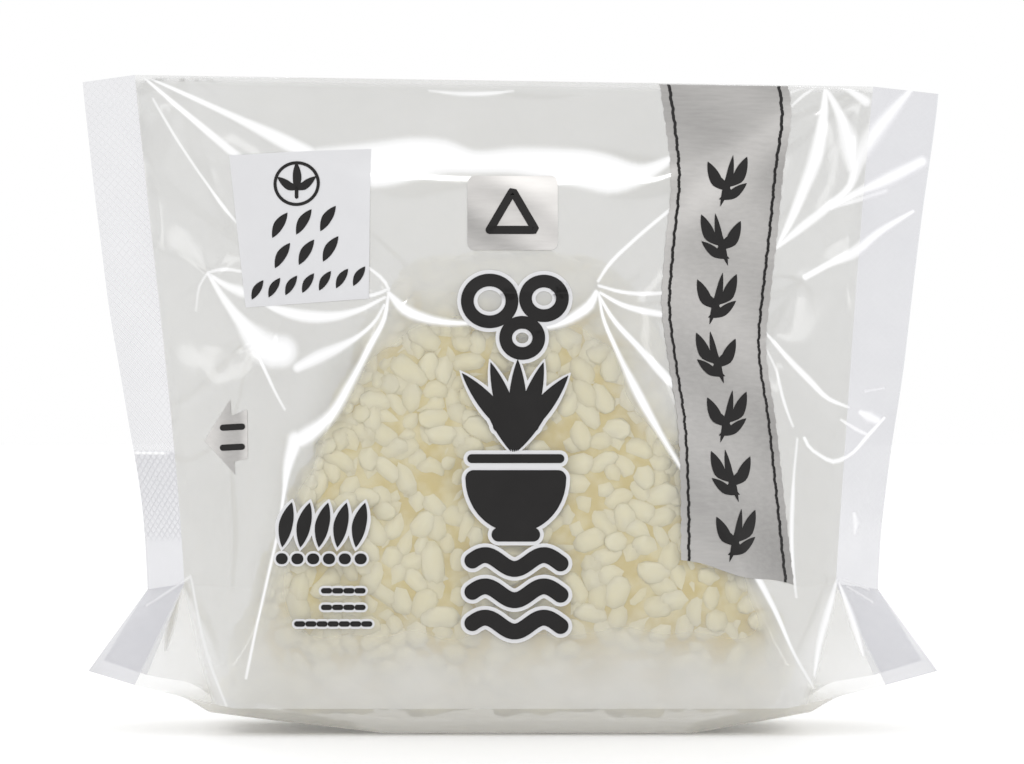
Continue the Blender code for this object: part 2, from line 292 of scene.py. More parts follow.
def mesh_from(name, points, faces, spot_values=None, spot_map=None):
    """A mesh from points and arrays of faces. spot_values are named numbers for each point, and spot_map
    holds the points' places on the UV map."""
    mesh = bpy.data.meshes.new(name)
    mesh.vertices.add(len(points))
    mesh.vertices.foreach_set("co", np.ascontiguousarray(points, np.float32).ravel())
    corners = np.concatenate([block.ravel() for block in faces]).astype(np.int32)
    sizes = np.concatenate([np.full(len(block), block.shape[1]) for block in faces])
    starts = np.concatenate([[0], np.cumsum(sizes)[:-1]]).astype(np.int32)
    mesh.loops.add(len(corners))
    mesh.loops.foreach_set("vertex_index", corners)
    mesh.polygons.add(len(sizes))
    mesh.polygons.foreach_set("loop_start", starts)
    mesh.update(calc_edges=True)
    for key, values in (spot_values or {}).items():
        layer = mesh.attributes.new(key, "FLOAT", "POINT")
        layer.data.foreach_set("value", np.ascontiguousarray(values, np.float32).ravel())
    if spot_map is not None:
        layer = mesh.uv_layers.new(name="UVMap")
        layer.data.foreach_set("uv", spot_map[corners].astype(np.float32).ravel())
    mesh.validate()
    mesh.shade_smooth()
    return mesh


def place(name, mesh, finish):
    """Puts a finished mesh into the scene as a piece that rides with the pack."""
    mesh.materials.append(finish)
    piece = bpy.data.objects.new(name, mesh)
    bpy.context.scene.collection.objects.link(piece)
    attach(piece, BODY)
    return piece


NOT_VALUES = ("x", "y", "z", "u", "v", "turned", "lift")


def sheets_mesh(name, sheets, turned=False):
    """One mesh from several sheets. A sheet is a dict of equal grids: x, y, z and any named values, with u
    and v as its map."""
    points, faces, start = [], [], 0
    for sheet in sheets:
        rows, columns = sheet["x"].shape
        points.append(np.stack([sheet["x"], sheet["y"], sheet["z"]], axis=-1).reshape(-1, 3))
        faces.append(grid_faces(rows, columns, start, turned ^ sheet.get("turned", False)))
        start += rows * columns
    keys = [key for key in sheets[0] if key not in NOT_VALUES]
    values = {key: np.concatenate([sheet[key].ravel() for sheet in sheets]) for key in keys}
    spot_map = None
    if "u" in sheets[0]:
        maps = [np.stack([sheet["u"], sheet["v"]], axis=-1).reshape(-1, 2) for sheet in sheets]
        spot_map = np.concatenate(maps)
    return mesh_from(name, np.concatenate(points), faces, values, spot_map)


# ---------------------------------------------------------------- the pack's shape


def seal_half_width(level):
    return mix(HALF_WIDTH_LOW, HALF_WIDTH_TOP, share_between(level, APEX_HEIGHT, HEIGHT) ** WIDTH_CURVE)


def contact_half_width(level):
    """Half the width of the flat front, from the base of the rice ball up to the ridge and the corners."""
    levels = (RICE_BASE_LEVEL, RICE_TOP_LEVEL, RIDGE_LEVEL, HEIGHT)
    return np.interp(level, levels, (RICE_HALF_BASE, RICE_HALF_TOP, RIDGE_HALF_WIDTH, HALF_WIDTH_TOP))


def panel_half_depth(x, level, seal_x, seal_y):
    """The least of the rice face, the slope to the top fold and the slope to the seal, less two dimples."""
    foot = (RICE_HALF_DEPTH - EDGE_HALF_DEPTH) * np.exp((EDGE_LEVEL - level) / FOOT_ROUNDING)
    leaning = (RICE_HALF_DEPTH - RIDGE_HALF_DEPTH) * share_between(level, RICE_TOP_LEVEL, RIDGE_LEVEL)
    face = RICE_HALF_DEPTH - foot - leaning
    to_fold = (HEIGHT - level) * RIDGE_HALF_DEPTH / (HEIGHT - RIDGE_LEVEL)
    reach = np.maximum(seal_x - contact_half_width(level), LEAST_REACH)
    to_seal = seal_y + (seal_x - np.abs(x)) * (np.minimum(face, to_fold) - seal_y) / reach
    depth = soft_least((face, to_fold, to_seal), CORNER_SOFTNESS)
    for place_x, place_level, dip in DIMPLES:
        depth = depth - dip * np.exp(-((x - place_x) ** 2 + (level - place_level) ** 2) / DIMPLE_WIDTH**2)
    return np.maximum(depth, 0.0)


def smooth_curve(points, spacing):
    """Points along a smooth curve through the given ones: between each two a cubic piece, whose slope at each
    point is that of the curve through its neighbours, over the distance walked."""
    points = np.array(points, float)
    walked = np.concatenate([[0.0], np.cumsum(np.hypot(*np.diff(points[:, :2], axis=0).T))])
    slopes = np.gradient(points, walked, axis=0)
    at = np.linspace(0, walked[-1], max(int(walked[-1] / spacing), 2) + 1)
    piece = np.clip(np.searchsorted(walked, at, side="right") - 1, 0, len(points) - 2)
    gap = (walked[piece + 1] - walked[piece])[:, None]
    share = (at - walked[piece])[:, None] / gap
    rest = 1 - share
    start = (1 + 2 * share) * rest**2 * points[piece] + gap * share * rest**2 * slopes[piece]
    end = share**2 * (3 - 2 * share) * points[piece + 1] - gap * share**2 * rest * slopes[piece + 1]
    return start + end


def one_fold(spots, fold):
    """(height in mm, gleam) of one fold at spots (x, z) in mm, the gleam being a painted highlight. The
    height falls away from the fold's line as an exponential of the distance, with a small radius on top, and
    lessens towards its far end."""
    strength, peak, left_reach, right_reach, *points = fold
    curve = smooth_curve(points, FOLD_SPACING)
    starts, steps = curve[:-1, :2], np.diff(curve[:, :2], axis=0)
    share = np.clip(((spots[:, None] - starts) * steps).sum(axis=-1) / (steps**2).sum(axis=-1), 0, 1)
    off = spots[:, None] - starts - share[..., None] * steps
    gaps = np.hypot(off[..., 0], off[..., 1])
    nearest = gaps.argmin(axis=1)
    row = np.arange(len(spots))
    gap = gaps[row, nearest]
    across = (steps[:, 0] * off[..., 1] - steps[:, 1] * off[..., 0])[row, nearest]
    along = nearest + share[row, nearest]
    width = np.interp(along, np.arange(len(curve)), curve[:, 2]).clip(0.1)
    half = np.maximum(width, THIN_GLEAM) / 2
    soft = np.minimum(BORDER_SHARE * half, WIDEST_BORDER)
    gleam = strength * np.minimum(width / FULL_GLEAM, 1) * (1 - smooth_step(gap, half - soft, half + soft))
    far = along / (len(curve) - 1)
    taper = smooth_step(far, *FOLD_RISE) * (1 - FOLD_LOSS * smooth_step(far, *FOLD_FALL))
    radius = FOLD_RADIUS + half
    rounded = np.sqrt(gap**2 + radius**2) - radius
    fall = np.exp(-rounded / np.where(across > 0, left_reach, right_reach))
    return peak * taper * fall * (1 - smooth_step(gap, FOLD_REACH / 2, FOLD_REACH)), gleam


def fold_field(x, z):
    """(height in metres, painted highlight (gleam) from 0 to 1) of all folds at x and z. Each is worked out
    only near its own box."""
    x, z = x / MM, z / MM
    height, gleam = np.zeros_like(x), np.zeros_like(x)
    for fold in FOLDS:
        points = np.array(fold[4:])[:, :2]
        low, high = points.min(axis=0) - FOLD_REACH, points.max(axis=0) + FOLD_REACH
        near = (x > low[0]) & (x < high[0]) & (z > low[1]) & (z < high[1])
        if near.any():
            own_height, own_gleam = one_fold(np.stack([x[near], z[near]], axis=-1), fold)
            height[near] += own_height
            gleam[near] = np.maximum(gleam[near], own_gleam)
    return height * MM, gleam


def relief(x, z, station):
    """(height in metres, painted highlight (gleam)) of all that stands on the smooth film, faded out at the
    film's borders.
    """
    settled_x, _, settled_z = settle(x, 0.0, z)
    height, gleam = fold_field(settled_x, settled_z)
    slack = smooth_step(np.abs(x) - contact_half_width(z), -0.002, 0.006) + smooth_step(z, 0.068, 0.078)
    height = height + SLACK_HEIGHT * np.minimum(slack, 1.0) * waves(x, z, *SLACK_WAVES)
    height = height + FINE_HEIGHT * waves(x, z, *FINE_WAVES)
    fade = smooth_step(1 - np.abs(station), 0.0, 0.035) * smooth_step(HEIGHT - z, 0.0, 0.0030)
    fade = fade * smooth_step(z - EDGE_LEVEL, -0.0005, 0.0030)
    gleam = gleam * smooth_step(HEIGHT - z, 0.0, 0.0008)
    return height * fade, gleam * np.clip(0.92 + 0.10 * waves(x, z, *GLEAM_WAVES), 0.0, 1.0)


def settle(x, y, z):
    """Lets the top edge slope down a little towards the right and lean a little to the left."""
    high = smooth_step(z, SETTLED_FROM, HEIGHT)
    tilt = TOP_TILT * share_between(x, -SETTLED_HALF_WIDTH, SETTLED_HALF_WIDTH) * high
    return x - TOP_LEAN * high, y, z - tilt


def unsettle(x, z):
    """The x and z that settle() moves to x and z, by three rounds of correction."""
    flat_x, flat_z = x, z
    for _ in range(3):
        moved_x, _, moved_z = settle(flat_x, 0.0, flat_z)
        flat_x, flat_z = flat_x + x - moved_x, flat_z + z - moved_z
    return flat_x, flat_z


def ear_share(level):
    """1 at the bottom edge and 0 from the gusset's peak up: how far a row's end has gone into the ears."""
    return 1 - share_between(level, EDGE_LEVEL, APEX_HEIGHT) ** (1 / EAR_ROW_SPACING)


def seal_line(level):
    """(x, half depth, level) of the seal's inner edge, for the row that has this level in its middle."""
    ear = ear_share(level)
    seal_x = np.where(ear > 0, HALF_WIDTH_LOW + EAR_SPREAD * ear, seal_half_width(level))
    seal_level = np.where(ear > 0, mix(APEX_HEIGHT, EAR_LEVEL, ear), level)
    return seal_x, EAR_HALF_DEPTH * ear, seal_level


def seal_offset(level, side):
    """(x, y, z) from the inner to the outer edge of the right-hand seal."""
    ear = ear_share(level)
    lean = FIN_LEAN * (1 - smooth_step(level, FIN_LEAN_LEVEL, FIN_STRAIGHT_LEVEL))
    drop = SEAL_TOP_DROP * smooth_step(level, FIN_STRAIGHT_LEVEL, HEIGHT)
    drop = drop + SEAL_TOP_DROP * (1 - smooth_step(level, APEX_HEIGHT, FIN_LEAN_LEVEL))
    upright = (SEAL_WIDTH * np.cos(lean), SEAL_WIDTH * np.sin(lean), -drop)
    spread = (EAR_TIP_SPREAD, side * EAR_TIP_SPLAY, EAR_TIP_RISE)
    return [mix(upright[i], spread[i], ear) for i in range(3)]


def panel(station, level, side):
    """x, y, z and line, the painted highlight, of a panel. The CAD model's half depth at station and level,
    with the relief on it.
    """
    seal_x, seal_y, seal_level = seal_line(level)
    x = station * seal_x
    contact = np.minimum(contact_half_width(level), seal_x - LEAST_REACH)
    outward = share_between(np.abs(x), contact, seal_x)
    z = mix(level, seal_level, outward)
    own_x = x if side < 0 else -x
    height, line = relief(own_x, z, station)
    depth = panel_half_depth(own_x, z, seal_x, seal_y) + height
    return x, side * depth, z, line


def front_y(x, z, lift):
    """y of the front film at x and z, lifted outwards: the same surface as panel(), between the seals."""
    seal_x, seal_y, _ = seal_line(z)
    height, _ = relief(x, z, x / seal_x)
    return -(panel_half_depth(x, z, seal_x, seal_y) + height + lift)


def window(x, z):
    """1 in the clear window over the rice face and 0 in the milky film round it."""
    left, right = np.interp(z, *WINDOW_LEFT), np.interp(z, *WINDOW_RIGHT)
    inside = soft_least((x - left, right - x, WINDOW_TOP - z), 0.003)
    sides = smooth_step(inside + 0.0012 * waves(x, z, 5, 16, 0.008, 0.024), -0.0040, 0.0080)
    return sides * smooth_step(z + 0.0010 * waves(x, z, 6, 12, 0.010, 0.030), *WINDOW_FOOT)


def ear_window(x, z):
    """1 in the clear front of the ears, out from the line between the gusset's peak and its lower corner."""
    line_x = np.interp(z, (0.0033, 0.0243), (0.0446, 0.0516))
    return smooth_step(np.abs(x) - line_x, 0.0002, 0.0022) * smooth_step(z, 0.0245, 0.0215)


# ---------------------------------------------------------------- shader maths


class Wire:
    """One output socket in a finish. Adding, multiplying and so on adds the Math node that does it."""

    def __init__(self, finish, socket):
        self.finish = finish
        self.socket = socket

    def math(self, operation, *others, clamp=False):
        node = self.finish.node(
            "ShaderNodeMath", {"operation": operation, "use_clamp": clamp}, dict(enumerate((self, *others)))
        )
        return node[0]

    def __add__(self, other):
        return self.math("ADD", other)

    __radd__ = __add__

    def __mul__(self, other):
        return self.math("MULTIPLY", other)

    __rmul__ = __mul__

    def __sub__(self, other):
        return self.math("SUBTRACT", other)

    def __rsub__(self, other):
        return self.finish.node("ShaderNodeMath", {"operation": "SUBTRACT"}, {0: other, 1: self})[0]

    def clamped(self):
        return self.math("ADD", 0.0, clamp=True)

    def step(self, low, high):
        """0 below low and 1 above high, with a smooth change between them."""
        settings = {"interpolation_type": "SMOOTHSTEP"}
        sockets = {"Value": self, "From Min": low, "From Max": high}
        return self.finish.node("ShaderNodeMapRange", settings, sockets)[0]


class Finish:
    """A material and the few ways to add nodes to it."""

    def __init__(self, name):
        self.material = bpy.data.materials.new(name)
        self.material.use_nodes = True
        self.tree = self.material.node_tree
        self.tree.nodes.clear()
        self.out = self.tree.nodes.new("ShaderNodeOutputMaterial")

    def node(self, kind, settings=None, sockets=None):
        """Adds a node, makes its settings, fills its sockets, and gives its outputs as wires."""
        node = self.tree.nodes.new(kind)
        for key, value in (settings or {}).items():
            setattr(node, key, value)
        for key, value in (sockets or {}).items():
            if isinstance(value, Wire):
                self.tree.links.new(value.socket, node.inputs[key])
            elif node.inputs[key].type == "RGBA":
                node.inputs[key].default_value = (*value, 1.0)
            else:
                node.inputs[key].default_value = value
        return [Wire(self, socket) for socket in node.outputs if socket.enabled]

    def place(self):
        return self.node("ShaderNodeTexCoord")[3]

    def spot(self, name):
        """The named value of the piece's points."""
        return self.node("ShaderNodeAttribute", {"attribute_name": name})[2]

    def cloud(self, size, detail=2.0, roughness=0.5, stretch=None):
        """Noise whose lumps are about size metres across, from 0 to 1."""
        where = self.place()
        if stretch:
            where = self.node("ShaderNodeMapping", None, {"Vector": where, "Scale": stretch})[0]
        sockets = {"Vector": where, "Scale": 1 / size, "Detail": detail, "Roughness": roughness}
        return self.node("ShaderNodeTexNoise", None, sockets)[0]

    def blend(self, share, first, second):
        """A colour between first and second."""
        return self.node("ShaderNodeMix", {"data_type": "RGBA"}, {0: share, 6: first, 7: second})[0]

    def bump(self, height, distance, strength=1.0):
        sockets = {"Height": height, "Distance": distance, "Strength": strength}
        return self.node("ShaderNodeBump", None, sockets)[0]

    def surface(self, **sockets):
        """The Principled shader. A socket's name has _ for a space."""
        named = {key.replace("_", " "): value for key, value in sockets.items()}
        return self.node("ShaderNodeBsdfPrincipled", None, named)[0]

    def end(self, shader, opacity=None):
        """Ends the finish in a shader, or in that much of it over clear film."""
        if opacity is not None:
            clear = self.node("ShaderNodeBsdfTransparent")[0]
            shader = self.node("ShaderNodeMixShader", None, {0: opacity, 1: clear, 2: shader})[0]
        self.tree.links.new(shader.socket, self.out.inputs["Surface"])
        return self.material


def film_finish(sizes):
    """Milky film: white haze where the haze value says, painted white highlights along the folds where the
    line value says, painted shade towards the foot, and a painted reflection where it is seen edge-on; glossy
    all over.
    """
    finish = Finish("milky_film")
    haze = finish.spot("haze")
    # line: the painted highlights along the folds, drawn as more opaque white
    line = finish.spot("line")
    cloud = finish.cloud(0.012)
    # Painted reflection: the film is drawn more opaque white where it is seen edge-on
    painted_edge_reflection = finish.node("ShaderNodeLayerWeight", None, {"Blend": 0.35})[1]
    opacity = (haze + (cloud - 0.5) * 0.10 + line * sizes.painted_highlight_strength + painted_edge_reflection * painted_edge_reflection * 0.5).clamped()
    # Painted shade: the haze colour goes to the darker, warmer foot colour where the foot value says
    foot_shaded_haze = finish.blend(finish.spot("foot_shade"), tuple(sizes.haze_colour), tuple(sizes.foot_shade_colour))
    # Painted highlights: the colour goes to white where the line value is
    colour = finish.blend(line.clamped(), foot_shaded_haze, WHITE)
    shader = finish.surface(
        Base_Color=colour,
        Roughness=finish.cloud(0.006) * 0.06 + 0.10,
        IOR=1.5,
        Specular_IOR_Level=0.9,
        Coat_Weight=1.0,
        Coat_Roughness=0.06,
        Coat_IOR=1.6,
        Normal=finish.bump(finish.cloud(0.0030), 0.00003, 0.5),
    )
    return finish.end(shader, opacity)


def seal_finish(sizes):
    """Clear sealed film with a fine crossing pattern pressed into it. Where its line value says, it is drawn
    opaque white: painted highlights from the folds, its tear notch and its edges. The map's u and v are in
    mm.
    """
    finish = Finish("sealed_film")
    spot_map = finish.node("ShaderNodeTexCoord")[2]
    across, up, _ = finish.node("ShaderNodeSeparateXYZ", None, {"Vector": spot_map})
    pitch = sizes.seal_pitch / MM
    rising, falling = (
        (way * (1 / pitch)).math("PINGPONG", 0.5).step(0.12, 0.03) for way in (across + up, across - up)
    )
    pattern = rising.math("MAXIMUM", falling)
    # line: painted highlights from the folds, the tear notch and the edges, drawn as opaque white
    line = finish.spot("line")
    pattern = pattern * finish.spot("pressing")
    uneven = (finish.cloud(0.006) - 0.5) * 0.16
    opacity = (finish.spot("haze") + pattern * 0.16 + line * 0.7 + uneven).clamped()
    shader = finish.surface(
        Base_Color=finish.blend(line.clamped(), tuple(sizes.seal_colour), WHITE),
        Roughness=0.16 + pattern * 0.15,
        IOR=1.5,
        Specular_IOR_Level=0.9,
        Coat_Weight=1.0,
        Coat_Roughness=0.08,
        Coat_IOR=1.6,
        Normal=finish.bump(pattern + finish.cloud(0.004) * 0.8, 0.00012, 0.8),
    )
    return finish.end(shader, opacity)


def silver_finish(colours):
    """Matte silver ink: its painted sheen goes slowly from dark to light, under a fine brushed streak."""
    finish = Finish("silver_ink")
    streak = finish.cloud(0.0009, 3.0, 0.6, (0.25, 1.0, 1.6))
    dark = tuple(0.62 * c for c in colours.silver)
    light = tuple(1.60 * c for c in colours.silver)
    # The painted sheen, with the streak over it
    tone = (streak * 0.30 + finish.spot("sheen") - 0.15).clamped()
    shader = finish.surface(
        Base_Color=finish.blend(tone, dark, light),
        Roughness=0.34 + streak * 0.14,
        Metallic=0.45,
        Normal=finish.bump(streak, 0.00002, 0.5),
    )
    return finish.end(shader)


def ink_finish(name, colour, change, shine):
    """Printed ink with a little unevenness in its tone and its sheen."""
    finish = Finish(name)
    cloud = finish.cloud(0.0035, 3.0)
    far = tuple(min(c + change, 1.0) for c in colour)
    shader = finish.surface(
        Base_Color=finish.blend(cloud, colour, far),
        Roughness=0.30 + cloud * 0.12,
        Specular_IOR_Level=shine,
        Normal=finish.bump(finish.cloud(0.0012), 0.00002, 0.5),
    )
    return finish.end(shader)


def rice_finish(sizes):
    """Cooked rice: painted light on the top of each grain and painted shade, darker and warmer, down towards
    the gaps, with a soft moist gloss.
    """
    finish = Finish("cooked_rice")
    belly = finish.cloud(0.0016, 1.0)
    # The high value paints light on a grain's outer parts and shade on its deeper ones
    share = (finish.spot("tone") * 0.30 + belly * 0.20 + finish.spot("high") * 0.60 - 0.05).clamped()
    shader = finish.surface(
        Base_Color=finish.blend(share, tuple(sizes.deep_and_shade_colour), tuple(sizes.pale_colour)),
        Roughness=0.36 + belly * 0.10,
        Subsurface_Weight=0.2,
        Subsurface_Radius=(1.0, 0.85, 0.55),
        Subsurface_Scale=0.003,
        Coat_Weight=0.12,
        Coat_Roughness=0.25,
        Normal=finish.bump(finish.cloud(0.0016, 1.0), 0.00008, 0.4),
    )
    return finish.end(shader)


def core_finish(sizes):
    """The rice between and under the grains: painted shade in dark, warm patches, soft and moist."""
    finish = Finish("rice_core")
    cloud = finish.cloud(0.0035, 2.0)
    shader = finish.surface(
        Base_Color=finish.blend(cloud.step(0.36, 0.68), tuple(sizes.gap_shade_colour), tuple(sizes.deep_and_shade_colour)),
        Roughness=0.45 + cloud * 0.1,
        Subsurface_Weight=0.2,
        Subsurface_Radius=(1.0, 0.85, 0.55),
        Subsurface_Scale=0.003,
        Normal=finish.bump(finish.cloud(0.0025, 2.0), 0.0003, 0.5),
    )
    return finish.end(shader)


def floor_finish(colour, glow):
    finish = Finish("white_floor")
    cloud = finish.cloud(0.6)
    shader = finish.surface(
        Base_Color=finish.blend(cloud, colour, tuple(min(c + 0.01, 1.0) for c in colour)),
        Roughness=0.7,
        Emission_Color=(1.0, 1.0, 1.0),
        Emission_Strength=glow,
    )
    return finish.end(shader)


# ---------------------------------------------------------------- the rice


def rice_field(p, rice):
    """Below 0 inside the rice ball and above 0 outside: the soft greatest of the distances to its planes,
    a base, two sides, a top and two faces, with an uneven surface."""
    x, y, z = p[..., 0], p[..., 1], p[..., 2]
    slope = rice.side_slope
    slant = math.hypot(1.0, slope)
    side = (np.abs(x) - (rice.half_base - slope * (z - rice.base_level))) / slant
    top = rice.base_level + rice.height
    outline = -soft_least((z - rice.base_level, -side, top - z), rice.corner_softness)
    lumps = 0.00035 * waves(x + 0.4 * y, z - 0.3 * y, 11, 12, 0.006, 0.016)
    return -soft_least((-outline, rice.half_depth - np.abs(y)), rice.edge_softness) + lumps


def rice_slope(p, rice):
    """The unit vectors that point straight out of the rice ball at p, from small differences of its field."""
    step = 0.0004
    slopes = [rice_field(p + step * axis, rice) - rice_field(p - step * axis, rice) for axis in np.eye(3)]
    gradient = np.stack(slopes, axis=-1)
    return gradient / np.maximum(np.linalg.norm(gradient, axis=-1, keepdims=True), 1e-9)


def rice_core_mesh(rice):
    """A closed skin: from the middle, each direction of a globe's grid is followed out, by halving, to where
    the field is minus the inset."""
    rows, columns = 150, 240
    down, turn = grid(rows, columns + 1, (0.0, 0.0), (math.pi, 2 * math.pi))
    down, turn = down[1:-1, :-1], turn[1:-1, :-1]
    ways = np.stack([np.sin(down) * np.cos(turn), np.cos(down), np.sin(down) * np.sin(turn)], axis=-1)
    ways = np.concatenate([ways.reshape(-1, 3), [[0.0, 1.0, 0.0], [0.0, -1.0, 0.0]]])
    middle = np.array([0.0, 0.0, rice.base_level + 0.42 * rice.height])
    low, high = np.zeros(len(ways)), np.full(len(ways), 0.08)
    for _ in range(24):
        half = (low + high) / 2
        inside = rice_field(middle + ways * half[:, None], rice) < -rice.core_inset
        low, high = np.where(inside, half, low), np.where(inside, high, half)
    points = keep_in_film(middle + ways * low[:, None])
    around = np.arange(columns)
    after = (around + 1) % columns
    start = np.arange(rows - 3)[:, None] * columns
    below = start + columns
    quads = np.stack([start + around, start + after, below + after, below + around], axis=-1)
    last = (rows - 3) * columns
    first_pole, last_pole = len(ways) - 2, len(ways) - 1
    top = np.stack([np.full(columns, first_pole), after, around], axis=-1)
    bottom = np.stack([np.full(columns, last_pole), last + around, last + after], axis=-1)
    return mesh_from("rice_core", points, [quads.reshape(-1, 4), top, bottom])


PUSH_REACH, PUSH_STEP = 0.0036, 0.0009


def even_spots(rice, count, random):
    """Points spread evenly over the rice ball: random ones that push their neighbours away, and then settle
    on it."""
    spread = np.array([rice.half_base, rice.half_depth, rice.height / 2])
    points = random.normal(size=(count, 3))
    points = points / np.abs(points).max(axis=1, keepdims=True) * spread
    points = points + [0, 0, rice.base_level + rice.height / 2]
    for _ in range(30):
        points = points - rice_field(points, rice)[:, None] * rice_slope(points, rice)
        gap = points[:, None, :] - points[None, :, :]
        away = np.linalg.norm(gap, axis=-1) + np.eye(count)
        push = np.exp(-((away / PUSH_REACH) ** 2)) * (1 - np.eye(count))
        points = points + (gap * (push / away)[..., None]).sum(axis=1) * PUSH_STEP
    return points - rice_field(points, rice)[:, None] * rice_slope(points, rice)


def grain_shape(rings, around):
    """One straight grain of unit half length along x: rings whose radius falls to 0 bluntly at both ends."""
    along, turn = grid(rings, around + 1, (-0.93, 0.0), (0.93, 2 * math.pi))
    along, turn = along[:, :-1], turn[:, :-1]
    radius = (1 - np.abs(along) ** 3.2) ** 0.5
    body = np.stack([along, radius * np.cos(turn), radius * np.sin(turn)], axis=-1).reshape(-1, 3)
    return np.concatenate([body, [[-1.0, 0.0, 0.0], [1.0, 0.0, 0.0]]])


def grain_faces(rings, around):
    here = np.arange(around)
    after = (here + 1) % around
    start = np.arange(rings - 1)[:, None] * around
    quads = np.stack([start + here, start + around + here, start + around + after, start + after], axis=-1)
    first, last = rings * around, rings * around + 1
    ends = np.concatenate([
        np.stack([np.full(around, first), here, after], axis=-1),
        np.stack([np.full(around, last), (rings - 1) * around + after, (rings - 1) * around + here], axis=-1),
    ])
    return quads.reshape(-1, 4), ends


def rice_grain_mesh(rice):
    """All grains as one mesh. Each lies along the surface at its own angle, size, bend and depth."""
    rings, around, count = 6, 8, rice.grain_count
    random = np.random.default_rng(rice.seed)
    spots = even_spots(rice, count, random)
    outward = rice_slope(spots, rice)
    loose = random.normal(size=(count, 3))
    lengthwise = loose - (loose * outward).sum(axis=1, keepdims=True) * outward
    lengthwise = lengthwise / np.linalg.norm(lengthwise, axis=1, keepdims=True)
    tilt = random.normal(0, 0.20, (count, 1))
    lengthwise = lengthwise * np.cos(tilt) + outward * np.sin(tilt)
    sideways = np.cross(outward, lengthwise)
    sideways = sideways / np.linalg.norm(sideways, axis=1, keepdims=True)
    upward = np.cross(lengthwise, sideways)
    half_length = rice.grain_length / 2 * random.normal(1.0, 0.11, count).clip(0.65, 1.25)
    half_width = rice.grain_width / 2 * random.normal(1.0, 0.09, count).clip(0.8, 1.2)
    bend = random.normal(0.0, 0.00035, count)
    depth = random.uniform(-0.0006, 0.0002, count)
    shape = grain_shape(rings, around)
    curve = 1 - shape[:, 0] ** 2
    taper = 1 + 0.16 * random.uniform(-1, 1, count)[:, None] * shape[None, :, 0]
    a = half_length[:, None] * shape[None, :, 0]
    b = half_width[:, None] * shape[None, :, 1] * taper + bend[:, None] * curve[None, :]
    c = rice.grain_flatness * half_width[:, None] * shape[None, :, 2] * taper
    points = spots[:, None, :] + outward[:, None, :] * depth[:, None, None]
    points = points + a[..., None] * lengthwise[:, None, :]
    points = points + b[..., None] * sideways[:, None, :] + c[..., None] * upward[:, None, :]
    quads, ends = grain_faces(rings, around)
    starts = (np.arange(count) * len(shape))[:, None, None]
    faces = [(quads[None] + starts).reshape(-1, 4), (ends[None] + starts).reshape(-1, 3)]
    tone = np.repeat(random.uniform(0, 1, count), len(shape))
    points = points.reshape(-1, 3)
    # Painted light and shade: high is 0 deep in the rice ball and 1 where the grain stands out of it
    high = share_between(rice_field(points, rice), 0.0001, 0.0012)
    return mesh_from("rice_grains", keep_in_film(points), faces, {"tone": tone, "high": high})


def keep_in_film(points):
    """The points, held a little behind the front and the back film and above the gusset."""
    x, y, z = points.T
    seal_x, seal_y, _ = seal_line(np.maximum(z, EDGE_LEVEL))
    room = np.maximum(panel_half_depth(x, z, seal_x, seal_y) - FILM_GAP, 0.001)
    y = np.sign(y) * soft_least((np.abs(y), room), 0.0002)
    edge = EDGE_HALF_DEPTH - FILM_GAP
    lift = share_between(np.abs(y) / edge, BASE_FLAT_SHARE, 1.0) ** BASE_STEEPNESS
    floor_level = mix(base_rise(x), EDGE_LEVEL, lift) + FILM_GAP
    return np.stack([x, y, np.maximum(z, floor_level)], axis=-1)


# ---------------------------------------------------------------- the film


def film_panel(side, counts, sizes):
    """A front or back panel over stations and levels, with its haze, its painted shade towards the foot and
    its painted highlights (gleams) as values.
    """
    level, station = grid(*counts, (EDGE_LEVEL, -1.0), (HEIGHT, 1.0))
    x, y, z, gleam = panel(station, level, side)
    own_x = x if side < 0 else -x
    haze = mix(sizes.haze, sizes.window, window(own_x, z))
    haze = haze + FOOT_HAZE * smooth_step(z, *FOOT_LEVELS)
    haze = mix(haze, sizes.ear_haze, ear_window(x, z))
    haze = haze * mix(RIM_HAZE, 1.0, smooth_step(HEIGHT - z, *RIM_WIDTHS))
    # Painted shade: the film darker and warmer towards the foot
    foot_shade = FOOT_SHADE * smooth_step(z, *FOOT_SHADE_LEVELS)
    foot_shade = foot_shade * smooth_step(FOOT_SHADE_HALF_LENGTH - np.abs(x), 0.0, 0.012)
    x, y, z = settle(x, y, z)
    return {"x": x, "y": y, "z": z, "haze": haze, "foot_shade": foot_shade, "line": gleam}


def base_rise(x):
    """How far the pack's base has risen off the floor at x, towards either end."""
    left = share_between(-x, -BASE_FLAT_FROM, BASE_HALF_LENGTH)
    right = share_between(x, BASE_FLAT_TO, BASE_HALF_LENGTH)
    return BASE_RISE * (left + right)


def gusset(station, share, side):
    """x, y, z of the gusset: from the panel's bottom edge at share 0 to its own fold at share 1."""
    edge_x, edge_y, edge_z, _ = panel(station, np.full_like(station, EDGE_LEVEL), side)
    fold_x = station * HALF_WIDTH_LOW
    fold_z = APEX_HEIGHT * share_between(np.abs(fold_x), BASE_HALF_LENGTH, HALF_WIDTH_LOW)
    end = share_between(np.abs(station), BASE_HALF_LENGTH / HALF_WIDTH_LOW, 1.0)
    base_z = base_rise(fold_x) * (1 - end)
    lift = share_between(1 - share, mix(BASE_FLAT_SHARE, 0.0, end), 1.0) ** mix(BASE_STEEPNESS, 1.0, end)
    z = base_z + (edge_z - base_z) * lift + fold_z * share
    return mix(edge_x, fold_x, share), edge_y * (1 - share), z


def gusset_sheet(side, haze):
    """One half of the gusset, with painted shade over its underside, clearer and less shaded towards the
    ears.
    """
    share, station = grid(*GUSSET_GRID, (0.0, -1.0), (1.0, 1.0))
    x, y, z = gusset(station, share, side)
    flat = np.zeros_like(x)
    end = smooth_step(np.abs(station), BASE_HALF_LENGTH / HALF_WIDTH_LOW, 0.92)
    haze = haze * (1 - 0.85 * end)
    # The underside carries full painted shade, less towards the ears
    return {"x": x, "y": y, "z": z, "haze": haze, "foot_shade": 1 - end, "line": flat, "turned": side > 0}


